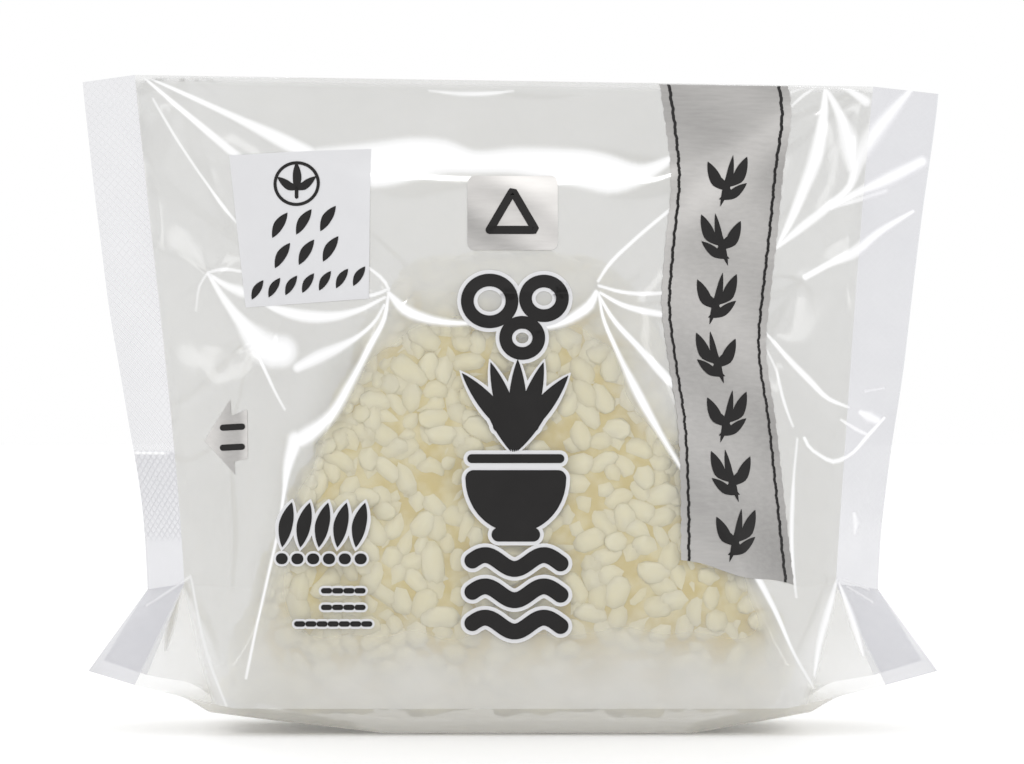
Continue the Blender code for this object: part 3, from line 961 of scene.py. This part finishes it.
def seal_sheet(hand, side, low, high, rows, haze):
    """One seal: from the panel's end outwards by the seal's offset. hand is -1 on the left and 1 on the
    right."""
    level, outward = grid(rows, SEAL_COLUMNS, (low, 0.0), (high, 1.0))
    x, y, z, _ = panel(np.full_like(level, hand), level, side)
    offset = seal_offset(level, side)
    ripple = 0.00035 * waves(outward * SEAL_WIDTH, level, 20 + hand, 9, 0.008, 0.030) * outward
    wider = FIN_NARROWING if hand < 0 else FIN_WIDENING * smooth_step(level, 0.070, HEIGHT)
    x = x + hand * (offset[0] + wider) * outward
    y = y + offset[1] * outward + ripple
    z = z + offset[2] * outward
    x, y, z = settle(x, y, z)
    notch = np.exp(-(((z - NOTCH_LEVEL) / 0.0003) ** 2)) * (hand < 0) * smooth_step(outward, 0.05, 0.3)
    # The painted highlights of the folds, carried onto the seal
    _, gleam = fold_field(x, z)
    edge = smooth_step(outward, 0.975, 1.0) * 0.4 + smooth_step(outward, 0.03, 0.0) * 0.2
    above = smooth_step(z, NOTCH_LEVEL, NOTCH_LEVEL + 0.0005)
    pressing = smooth_step(level, 0.029, 0.031) * (1 - 0.6 * above)
    pressing = pressing * (1.0 if hand < 0 else RIGHT_PRESSING)
    own_haze = RIGHT_FIN_HAZE if hand > 0 else LEFT_FIN_HAZE * (1 - above)
    # line: the painted highlights, the tear notch and the whiter edges, together
    line = np.maximum(np.maximum(notch, edge), gleam)
    return {
        "x": x, "y": y, "z": z, "u": outward * SEAL_WIDTH / MM, "v": level / MM,
        "haze": np.full_like(x, haze) + own_haze, "line": line, "pressing": pressing,
        "turned": (hand > 0) ^ (side > 0),
    }


# ---------------------------------------------------------------- the print


def on_film(x, z, lift):
    """A sheet of print that will lie at x and z, lifted off the film by lift."""
    return {"x": x, "z": z, "lift": np.full_like(x, lift)}


def lay_on_film(sheets):
    """Gives every sheet its y, with one reading of the film for all of them."""
    x, z, lift = (np.concatenate([sheet[key].ravel() for sheet in sheets]) for key in ("x", "z", "lift"))
    y = front_y(*unsettle(x, z), lift)
    start = 0
    for i, sheet in enumerate(sheets):
        size = sheet["x"].size
        sheet["y"] = y[start:start + size].reshape(sheet["x"].shape) - i % PRINT_LAYERS * PRINT_LAYER
        start += size


def stroke(path, width, lift, pointed=False):
    """A stroke of one width along a path of (x, z) in mm, with round ends, or pointed ones."""
    path = np.array(path, float)
    steps = np.hypot(*np.diff(path, axis=0).T)
    walked = np.concatenate([[0.0], np.cumsum(steps)])
    total = walked[-1]
    rows = max(int(total / 0.22) + 8, 16)
    even = (1 - np.cos(np.linspace(0, math.pi, rows))) / 2
    reach = even * (total + width) - width / 2
    middle = np.stack([np.interp(reach, walked, path[:, i]) for i in (0, 1)], axis=-1)
    first, last = (path[1] - path[0]) / steps[0], (path[-1] - path[-2]) / steps[-1]
    middle = middle + np.minimum(reach, 0)[:, None] * first + np.maximum(reach - total, 0)[:, None] * last
    way = np.gradient(middle, axis=0)
    way = way / np.maximum(np.hypot(way[:, 0], way[:, 1]), 1e-9)[:, None]
    beyond = np.maximum(np.maximum(-reach, reach - total), 0) / (width / 2)
    half = width / 2 * np.sqrt(np.maximum(1 - beyond**2, 0.0004))
    if pointed:
        half = width / 2 * np.sin(np.pi * np.clip(even, 0.01, 0.99)) ** 0.8
    columns = max(int(width / 0.3) + 2, 4)
    across = np.linspace(-1, 1, columns)
    x = middle[:, 0, None] + way[:, 1, None] * half[:, None] * across
    z = middle[:, 1, None] - way[:, 0, None] * half[:, None] * across
    return on_film(x * MM, z * MM, lift)


def arc(middle_x, middle_z, radius_x, radius_z, start, end):
    """Points in mm along part of an ellipse, from start to end in degrees."""
    turn = np.radians(np.linspace(start, end, max(int(abs(end - start) / 8), 4)))
    return np.stack([middle_x + radius_x * np.cos(turn), middle_z + radius_z * np.sin(turn)], axis=-1)


# Distance between the points of a patch, in mm
PATCH_SPACING = 0.3


def round_patch(low_x, high_x, low_z, high_z, corner, lift):
    """A rectangle in mm with round corners: each row is as wide as the rounding lets it be."""
    rows, columns = (int(size / PATCH_SPACING) + 3 for size in (high_z - low_z, high_x - low_x))
    up, across = grid(rows, columns, (0.0, -1.0), (1.0, 1.0))
    z = mix(low_z, high_z, (1 - np.cos(up * math.pi)) / 2)
    near = np.maximum(corner - np.minimum(z - low_z, high_z - z), 0)
    half = (high_x - low_x) / 2 - corner + np.sqrt(np.maximum(corner**2 - near**2, 0))
    return on_film(((low_x + high_x) / 2 + across * half) * MM, z * MM, lift)


def straight_patch(low_left, low_right, high_left, high_right, lift):
    """A patch between four corners (x, z) in mm, with straight sides."""
    up, across = grid(64, 64)
    low = [mix(low_left[i], low_right[i], across) for i in (0, 1)]
    high = [mix(high_left[i], high_right[i], across) for i in (0, 1)]
    return on_film(mix(low[0], high[0], up) * MM, mix(low[1], high[1], up) * MM, lift)


def column_marks():
    """The four plain marks of the middle column, as (path, width) in mm, from the top down: onion rings,
    a bunch of leaves, a bowl and three waves."""
    marks = []
    for x, z, r in ((-3.2, 68.2, 3.5), (5.3, 68.6, 2.9), (1.9, 62.4, 2.6)):
        marks.append((arc(x, z, r, r * 0.94, 20, 385), 2.0))
    marks.append(([(-1.8, 48.6), (3.6, 48.6)], 1.8))
    for inner in (0.0, 2.2, 4.4):
        marks.append((arc(0.9, 40.4, 6.6 - inner, 7.2 - inner, 180, 360), 2.6))
    marks.append(([(-5.7, 40.4), (7.5, 40.4)], 2.6))
    marks.append(([(-0.5, 38.6), (2.3, 38.6)], 2.2))
    marks.append(([(-6.0, 43.5), (7.8, 43.5)], 1.4))
    marks.append(([(-1.8, 31.6), (3.6, 31.6)], 2.2))
    for level in (27.3, 22.4, 17.5):
        along = np.linspace(-5.9, 7.9, 25)
        marks.append((np.stack([along, level + 1.1 * np.sin((along + 6.2) * 2 * np.pi / 9.2)], axis=-1), 2.5))
    return marks


def leaf_marks():
    """The leaves of the middle column's bunch: pointed blades that spread upwards, as (path, width) in mm."""
    tips = ((-6.6, 55.8), (-2.6, 57.2), (1.2, 57.6), (4.8, 57.2), (8.2, 55.4))
    return [([(0.6 + 0.15 * x, 46.0), (0.7 + 0.42 * x, 50.5), (x, z)], 2.8) for x, z in tips]


def ribbon_edge(z, hand):
    """x in mm of the ribbon's left (-1) or right (1) edge at the level z in mm, a little torn."""
    points = RIBBON_LEFT if hand < 0 else RIBBON_RIGHT
    curve = smooth_curve(points, 0.5)
    torn = 0.07 * np.sin(z * 2.3 + hand) + 0.05 * np.sin(z * 5.1 + 2 * hand) + 0.03 * np.sin(z * 11.7)
    return np.interp(z, curve[:, 1], curve[:, 0]) + torn


def ribbon_sheet(lift, low_share, high_share, line=False):
    """The ribbon from one share of its width to another, down to its slanting end. A line has few columns."""
    rows, columns = 280, 4 if line else 60
    up, across = grid(rows, columns, (0.0, low_share), (1.0, high_share))
    low = mix(27.6, 23.2, across) + 0.3 * np.sin(across * 9.0)
    top_x = mix(RIBBON_LEFT[-1][0], RIBBON_RIGHT[-1][0], across) * MM
    top = (HEIGHT - TOP_TILT * share_between(top_x, -SETTLED_HALF_WIDTH, SETTLED_HALF_WIDTH)) / MM - 0.2
    z = mix(low, top, up)
    x = mix(ribbon_edge(z, -1), ribbon_edge(z, 1), across)
    return on_film(x * MM, z * MM, lift)


def silver_sheen(x, z):
    """How light the silver is painted, from 0 to 1, as a painted sheen. On the ribbon a soft light band
    slants across the upper part, and the middle is a little lighter. The patch is dark on its left, and the
    arrow has a light tip."""
    x, z = x / MM, z / MM
    middle = np.exp(-(((z - 68.0) / 14.0) ** 2))
    slant = np.exp(-(((z - 0.87 * x - 58.6) / 4.0) ** 2))
    ribbon = 0.33 + 0.10 * middle + 0.30 * slant
    ribbon = ribbon - 0.12 * smooth_step(x, 36.0, 44.0) + 0.08 * np.sin(z * 0.31 + 0.2 * x)
    patch = 0.62 + 0.032 * (x - 0.4) + 0.030 * (z - 82.0) + 0.15 * np.sin(0.5 * x + 0.8 * z)
    arrow = 0.42 + 0.45 * smooth_step(x, -44.5, -48.5) + 0.50 * smooth_step(x, -43.5, -41.5)
    return np.clip(np.where(x > 20, ribbon, np.where(x > -20, patch, arrow)), 0.0, 1.0)


# One sprig round its own middle, as (path, width) in mm: the stem, two upper leaves and a lower one
SPRIG = (
    (((0.9, 3.4), (0.4, 0.4), (-0.9, -3.6)), 1.2),
    (((0.3, -0.6), (1.9, 0.5), (2.9, 2.9)), 1.9),
    (((-0.1, -1.2), (-1.7, -0.2), (-2.7, 2.0)), 1.9),
    (((-0.6, -2.8), (1.0, -2.2), (2.6, -0.9)), 1.5),
)


def ribbon_marks():
    """A trail of plain sprigs down the ribbon, each the other way round than the last, as (path, width) in
    mm."""
    marks = []
    for i, z in enumerate(np.linspace(87.5, 31.5, 7)):
        x = (ribbon_edge(z, -1) + ribbon_edge(z, 1)) / 2
        way = (-1) ** i
        marks += [([(x + way * off, z + rise) for off, rise in path], width) for path, width in SPRIG]
    return marks


def label_marks():
    """The ring on the white label and the stem in it, in mm."""
    return [(arc(-33.8, 86.9, 3.5, 3.3, 0, 360), 0.5), ([(-33.8, 84.8), (-33.8, 86.6)], 0.6)]


def label_grains():
    """The label's pointed marks, as (path, width) in mm: three small leaves, and three rows like grains of
    rice that rise to the right."""
    marks = [([(-33.8, 86.2), (-33.8 + 1.2 * way, 86.5), (-33.8 + 2.6 * way, 87.6)], 1.3) for way in (-1, 1)]
    marks.append(([(-33.8, 86.2), (-33.7, 87.8), (-33.8, 89.6)], 1.4))
    for first_x, first_z, count, step, length, width in LABEL_ROWS:
        for i in range(count):
            x, z = first_x + i * step, first_z + i * step * 0.12
            path = [(x, z - 0.4 * length), (x + 0.2 * length, z), (x + 0.5 * length, z + 0.4 * length)]
            marks.append((path, width))
    return marks


def block_marks():
    """The plain-ended marks of the lower left block: a row of discs and three short rows of dashes."""
    marks = [([(x - 0.1, 27.8), (x + 0.1, 27.8)], 1.7) for x in np.linspace(-35.8, -23.4, 6)]
    for level, start in ((22.8, -29.2), (20.2, -29.2), (17.6, -33.4)):
        marks += [([(x, level), (x + 0.9, level)], 0.85) for x in np.arange(start, -22.6, 1.75)]
    return marks


def block_grains():
    """The block's top row: five bold grains of rice, as (path, width) in mm."""
    return [([(x, 30.7), (x + 0.35, 33.1), (x + 1.0, 35.5)], 2.2) for x in np.linspace(-35.6, -24.0, 5)]


def arrow_marks():
    """Two short bars on the arrow, in mm."""
    return [([(-45.9, level), (-42.7, level + 0.2)], 1.0) for level in (48.2, 45.0)]


def arrow_sheets(lift):
    """A plain arrow that points left: a three-sided head with its tip cut by a hair, and a shaft."""
    head = straight_patch((-48.9, 46.05), (-43.8, 40.8), (-48.9, 46.15), (-44.7, 52.7), lift)
    shaft = straight_patch((-44.1, 42.8), (-41.7, 43.4), (-44.5, 50.1), (-41.9, 51.1), lift)
    return [head, shaft]


# ---------------------------------------------------------------- sizes and colours that a user would change


class FilmSizes(bpy.types.PropertyGroup):
    haze: bpy.props.FloatProperty(
        name="Haze", description="Opacity of the milky film", default=0.72, min=0, max=1
    )
    window: bpy.props.FloatProperty(
        name="Window", description="Opacity over the rice face", default=0.22, min=0, max=1
    )
    ear_haze: bpy.props.FloatProperty(
        name="Ear haze", description="Opacity at the front of the ears", default=0.25, min=0, max=1
    )
    seal_haze: bpy.props.FloatProperty(
        name="Seal haze", description="Opacity of the seals", default=0.40, min=0, max=1
    )
    base_haze: bpy.props.FloatProperty(
        name="Base haze", description="Opacity of the gusset", default=0.62, min=0, max=1
    )
    # How strongly the painted highlights along the folds show
    painted_highlight_strength: bpy.props.FloatProperty(
        name="Gleams", description="How far the gleams hide the rice", default=0.8
    )
    seal_pitch: bpy.props.FloatProperty(
        name="Seal pitch", description="Spacing of the pressed pattern", default=0.0014, unit="LENGTH"
    )
    haze_colour: bpy.props.FloatVectorProperty(
        name="Haze colour", description="Colour of the milky film",
        default=(0.66, 0.66, 0.65), subtype="COLOR",
    )
    # The darker, warmer colour of the painted shade at the film's foot and under it
    foot_shade_colour: bpy.props.FloatVectorProperty(
        name="Foot colour", description="Colour of the film low down",
        default=(0.65, 0.635, 0.59), subtype="COLOR",
    )
    seal_colour: bpy.props.FloatVectorProperty(
        name="Seal colour", description="Colour of the sealed film",
        default=(0.50, 0.50, 0.54), subtype="COLOR",
    )


class RiceSizes(bpy.types.PropertyGroup):
    half_base: bpy.props.FloatProperty(
        name="Half base", description="Half width at the base", default=0.0475, unit="LENGTH"
    )
    height: bpy.props.FloatProperty(
        name="Height", description="Height of the rice ball", default=0.0716, unit="LENGTH"
    )
    half_depth: bpy.props.FloatProperty(
        name="Half thickness", description="Half thickness under the grains", default=0.0164, unit="LENGTH"
    )
    base_level: bpy.props.FloatProperty(
        name="Base level", description="Level of its base", default=0.0040, unit="LENGTH"
    )
    side_slope: bpy.props.FloatProperty(
        name="Side slope", description="How far a side leans in per unit of height", default=0.42
    )
    corner_softness: bpy.props.FloatProperty(
        name="Corner softness", description="Rounding of its three corners", default=0.0045, unit="LENGTH"
    )
    edge_softness: bpy.props.FloatProperty(
        name="Edge softness", description="Rounding of its edges", default=0.0026, unit="LENGTH"
    )
    core_inset: bpy.props.FloatProperty(
        name="Core inset", description="How far the core lies under the grains",
        default=-0.00065, unit="LENGTH",
    )
    grain_length: bpy.props.FloatProperty(
        name="Grain length", description="Mean length", default=0.0062, unit="LENGTH"
    )
    grain_width: bpy.props.FloatProperty(
        name="Grain width", description="Mean width", default=0.0039, unit="LENGTH"
    )
    grain_flatness: bpy.props.FloatProperty(
        name="Flatness", description="Thickness of a grain for each unit of width", default=0.60
    )
    grain_count: bpy.props.IntProperty(
        name="Grains", description="How many grains show", default=2000, min=10, max=2000
    )
    seed: bpy.props.IntProperty(
        name="Seed", description="Number that sets the random order of the grains", default=7
    )
    pale_colour: bpy.props.FloatVectorProperty(
        name="Pale", description="The palest grains", default=(0.72, 0.667, 0.46), subtype="COLOR"
    )
    # The deepest grains' tone, which is also the painted shade down the grains' sides
    deep_and_shade_colour: bpy.props.FloatVectorProperty(
        name="Deep", description="The deepest grains", default=(0.64, 0.555, 0.29), subtype="COLOR"
    )
    # The painted shade of the rice down between the grains
    gap_shade_colour: bpy.props.FloatVectorProperty(
        name="Gaps", description="The rice down between the grains",
        default=(0.55, 0.43, 0.125), subtype="COLOR",
    )


class PrintColours(bpy.types.PropertyGroup):
    silver: bpy.props.FloatVectorProperty(
        name="Silver", description="The ribbon and the patch", default=(0.42, 0.409, 0.398), subtype="COLOR"
    )
    ink: bpy.props.FloatVectorProperty(
        name="Ink", description="The dark marks", default=(0.010, 0.009, 0.009), subtype="COLOR"
    )
    white: bpy.props.FloatVectorProperty(
        name="White", description="The label and the lines round marks",
        default=(0.63, 0.63, 0.645), subtype="COLOR",
    )
    lift: bpy.props.FloatProperty(
        name="Lift", description="Height of the first coat of print", default=0.00009, unit="LENGTH"
    )
    second_lift: bpy.props.FloatProperty(
        name="Second lift", description="Height of the second coat", default=0.00016, unit="LENGTH"
    )
    keyline: bpy.props.FloatProperty(
        name="Keyline", description="White line round a dark mark", default=0.0006, unit="LENGTH"
    )


class StageSizes(bpy.types.PropertyGroup):
    distance: bpy.props.FloatProperty(
        name="Distance", description="Camera distance from the middle", default=0.6600, unit="LENGTH"
    )
    lens: bpy.props.FloatProperty(name="Lens", description="Focal length in mm", default=144.0)
    key_power: bpy.props.FloatProperty(name="Key", description="Power of the high front lamp", default=2.0)
    side_power: bpy.props.FloatProperty(name="Sides", description="Power of each side lamp", default=0.25)
    back_power: bpy.props.FloatProperty(name="Back", description="Power of the lamp behind", default=1.5)
    surround: bpy.props.FloatProperty(
        name="Surround", description="Brightness of the white surround", default=1.0
    )
    floor_glow: bpy.props.FloatProperty(
        name="Floor glow", description="Own brightness of the floor", default=0.12
    )


# ---------------------------------------------------------------- operators


class PACK_OT_rice(bpy.types.Operator):
    """Makes the rice core and its cooked grains."""

    bl_idname = "pack.rice"
    bl_label = "Make the rice"

    def execute(self, context):
        rice = context.scene.pack_rice
        core = place("rice_core", rice_core_mesh(rice), core_finish(rice))
        grains = place("rice_grains", rice_grain_mesh(rice), rice_finish(rice))
        if not (core.data.polygons and grains.data.polygons):
            raise RuntimeError("the rice has no faces")
        return {"FINISHED"}


class PACK_OT_film(bpy.types.Operator):
    """Makes the front panel, the back panel and the gusset of the film."""

    bl_idname = "pack.film"
    bl_label = "Make the film"

    def execute(self, context):
        sizes = context.scene.pack_film
        finish = film_finish(sizes)
        front = sheets_mesh("film_front", [film_panel(-1, FRONT_GRID, sizes)], turned=True)
        back = sheets_mesh("film_back", [film_panel(1, BACK_GRID, sizes)])
        base = sheets_mesh("film_base", [gusset_sheet(side, sizes.base_haze) for side in (-1, 1)])
        for name, mesh in (("film_front", front), ("film_back", back), ("film_base", base)):
            piece = place(name, mesh, finish)
            piece.visible_shadow = False
            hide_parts(NODE)
        return {"FINISHED"}


class PACK_OT_seals(bpy.types.Operator):
    """Makes the seal fin and the two ears at each end of the pack."""

    bl_idname = "pack.seals"
    bl_label = "Make the seals"

    def execute(self, context):
        sizes = context.scene.pack_film
        finish, haze = seal_finish(sizes), sizes.seal_haze
        for name, hand in (("left_seal", -1), ("right_seal", 1)):
            fin = seal_sheet(hand, -1, APEX_HEIGHT, HEIGHT, FIN_ROWS, haze)
            ears = [seal_sheet(hand, side, EDGE_LEVEL, APEX_HEIGHT, EAR_ROWS, haze) for side in (-1, 1)]
            piece = place(name, sheets_mesh(name, [fin, *ears]), finish)
            piece.visible_shadow = False
            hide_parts(NODE)
        return {"FINISHED"}


class PACK_OT_print(bpy.types.Operator):
    """Makes the print on the front: ribbon, label, patch, arrow and plain dark marks with white edges."""

    bl_idname = "pack.print"
    bl_label = "Make the print"

    def execute(self, context):
        colours = context.scene.pack_print
        lift, second = colours.lift, colours.second_lift
        keyline = 2 * colours.keyline / MM
        patch = round_patch(-6.7, 7.5, 76.2, 88.0, 1.2, lift)
        silver = [ribbon_sheet(lift, 0.0, 1.0), patch, *arrow_sheets(lift)]
        white = [straight_patch((-42.2, 67.4), (-22.2, 68.6), (-44.8, 91.6), (-22.0, 92.4), lift)]
        white += [stroke(path, width + keyline, lift) for path, width in column_marks()]
        white += [stroke(path, width + keyline * 0.6, lift) for path, width in block_marks()]
        blades = leaf_marks() + block_grains()
        white += [stroke(path, width + keyline, lift, pointed=True) for path, width in blades]
        plain = column_marks() + label_marks() + block_marks() + arrow_marks()
        plain.append(([(-3.2, 79.4), (0.4, 85.6), (4.0, 79.4), (-3.2, 79.4)], 1.3))
        dark = [stroke(path, width, second) for path, width in plain]
        pointed = ribbon_marks() + label_grains() + blades
        dark += [stroke(path, width, second, pointed=True) for path, width in pointed]
        dark += [ribbon_sheet(second, *shares, line=True) for shares in RIBBON_LINES]
        lay_on_film(silver + white + dark)
        # The silver's painted sheen, set by place
        for sheet in silver:
            sheet["sheen"] = silver_sheen(sheet["x"], sheet["z"])
        white_ink = ink_finish("white_ink", tuple(colours.white), 0.03, 0.5)
        dark_ink = ink_finish("dark_ink", tuple(colours.ink), 0.006, 0.2)
        for name, sheets, finish in (
            ("silver_print", silver, silver_finish(colours)),
            ("white_print", white, white_ink),
            ("dark_print", dark, dark_ink),
        ):
            place(name, sheets_mesh(name, sheets), finish)
        return {"FINISHED"}


class PACK_OT_stage(bpy.types.Operator):
    """Makes the floor, the soft white light and the camera."""

    bl_idname = "pack.stage"
    bl_label = "Make the stage"

    def execute(self, context):
        scene, sizes = context.scene, context.scene.pack_stage
        turn, out = grid(97, 14, (0.0, 0.0), (2 * math.pi, 1.0))
        radius = 3.0 * out**2
        middle_out = {"x": radius * np.cos(turn), "y": radius * np.sin(turn), "z": np.full_like(out, -0.0002)}
        mesh = sheets_mesh("floor", [middle_out], turned=True)
        mesh.materials.append(floor_finish((0.90, 0.90, 0.90), sizes.floor_glow))
        floor = bpy.data.objects.new("floor", mesh)
        scene.collection.objects.link(floor)
        lamps = (
            ("key", (0.10, -0.95, 0.95), 0.50, 0.16, sizes.key_power),
            ("left", (-1.00, -0.75, 0.30), 0.10, 0.50, sizes.side_power),
            ("right", (1.00, -0.75, 0.30), 0.10, 0.50, sizes.side_power),
            ("back", (0.0, 1.00, 0.90), 0.50, 0.20, sizes.back_power),
        )
        aim = np.array([0.0, 0.0, HEIGHT / 2])
        for name, spot, width, height, power in lamps:
            light = bpy.data.lights.new(name, "AREA")
            light.shape, light.size, light.size_y, light.energy = "RECTANGLE", width, height, power
            lamp = bpy.data.objects.new(name, light)
            lamp.location = spot
            way = Vector(aim - np.array(spot))
            lamp.rotation_euler = way.to_track_quat("-Z", "Y").to_euler()
            scene.collection.objects.link(lamp)
        world = bpy.data.worlds.new("white_surround")
        world.use_nodes = True
        world.node_tree.nodes["Background"].inputs["Color"].default_value = (1.0, 1.0, 1.0, 1.0)
        world.node_tree.nodes["Background"].inputs["Strength"].default_value = sizes.surround
        scene.world = world
        scene.view_settings.view_transform = "Standard"
        data = bpy.data.cameras.new("camera")
        data.lens, data.sensor_width = sizes.lens, 36.0
        data.clip_start, data.clip_end = 0.05, 20.0
        camera = bpy.data.objects.new("camera", data)
        camera.location = (0.0003, -sizes.distance, 0.0555)
        camera.rotation_euler = (math.radians(90), 0.0, 0.0)
        scene.collection.objects.link(camera)
        scene.camera = camera
        return {"FINISHED"}


class VIEW3D_PT_rice_ball(bpy.types.Panel):
    """Lists the sizes, the colours and the steps."""

    bl_label = "Rice Ball"
    bl_space_type = "VIEW_3D"
    bl_region_type = "UI"
    bl_category = "Rice Ball"

    def draw(self, context):
        for group in GROUPS:
            box = self.layout.box()
            sizes = getattr(context.scene, group)
            for key in sizes.bl_rna.properties.keys()[2:]:
                box.prop(sizes, key)
        for step in STEPS:
            self.layout.operator(step.bl_idname)


GROUPS = {
    "pack_film": FilmSizes,
    "pack_rice": RiceSizes,
    "pack_print": PrintColours,
    "pack_stage": StageSizes,
}
STEPS = (PACK_OT_rice, PACK_OT_film, PACK_OT_seals, PACK_OT_print, PACK_OT_stage)


def register():
    for group in (*GROUPS.values(), *STEPS, VIEW3D_PT_rice_ball):
        bpy.utils.register_class(group)
    for key, group in GROUPS.items():
        setattr(bpy.types.Scene, key, bpy.props.PointerProperty(type=group))


def unregister():
    for key in GROUPS:
        delattr(bpy.types.Scene, key)
    for group in reversed((*GROUPS.values(), *STEPS, VIEW3D_PT_rice_ball)):
        bpy.utils.unregister_class(group)


def main():
    register()
    bpy.ops.pack.rice()
    bpy.ops.pack.film()
    bpy.ops.pack.seals()
    bpy.ops.pack.print()
    bpy.ops.pack.stage()


if __name__ == "__main__":
    main()
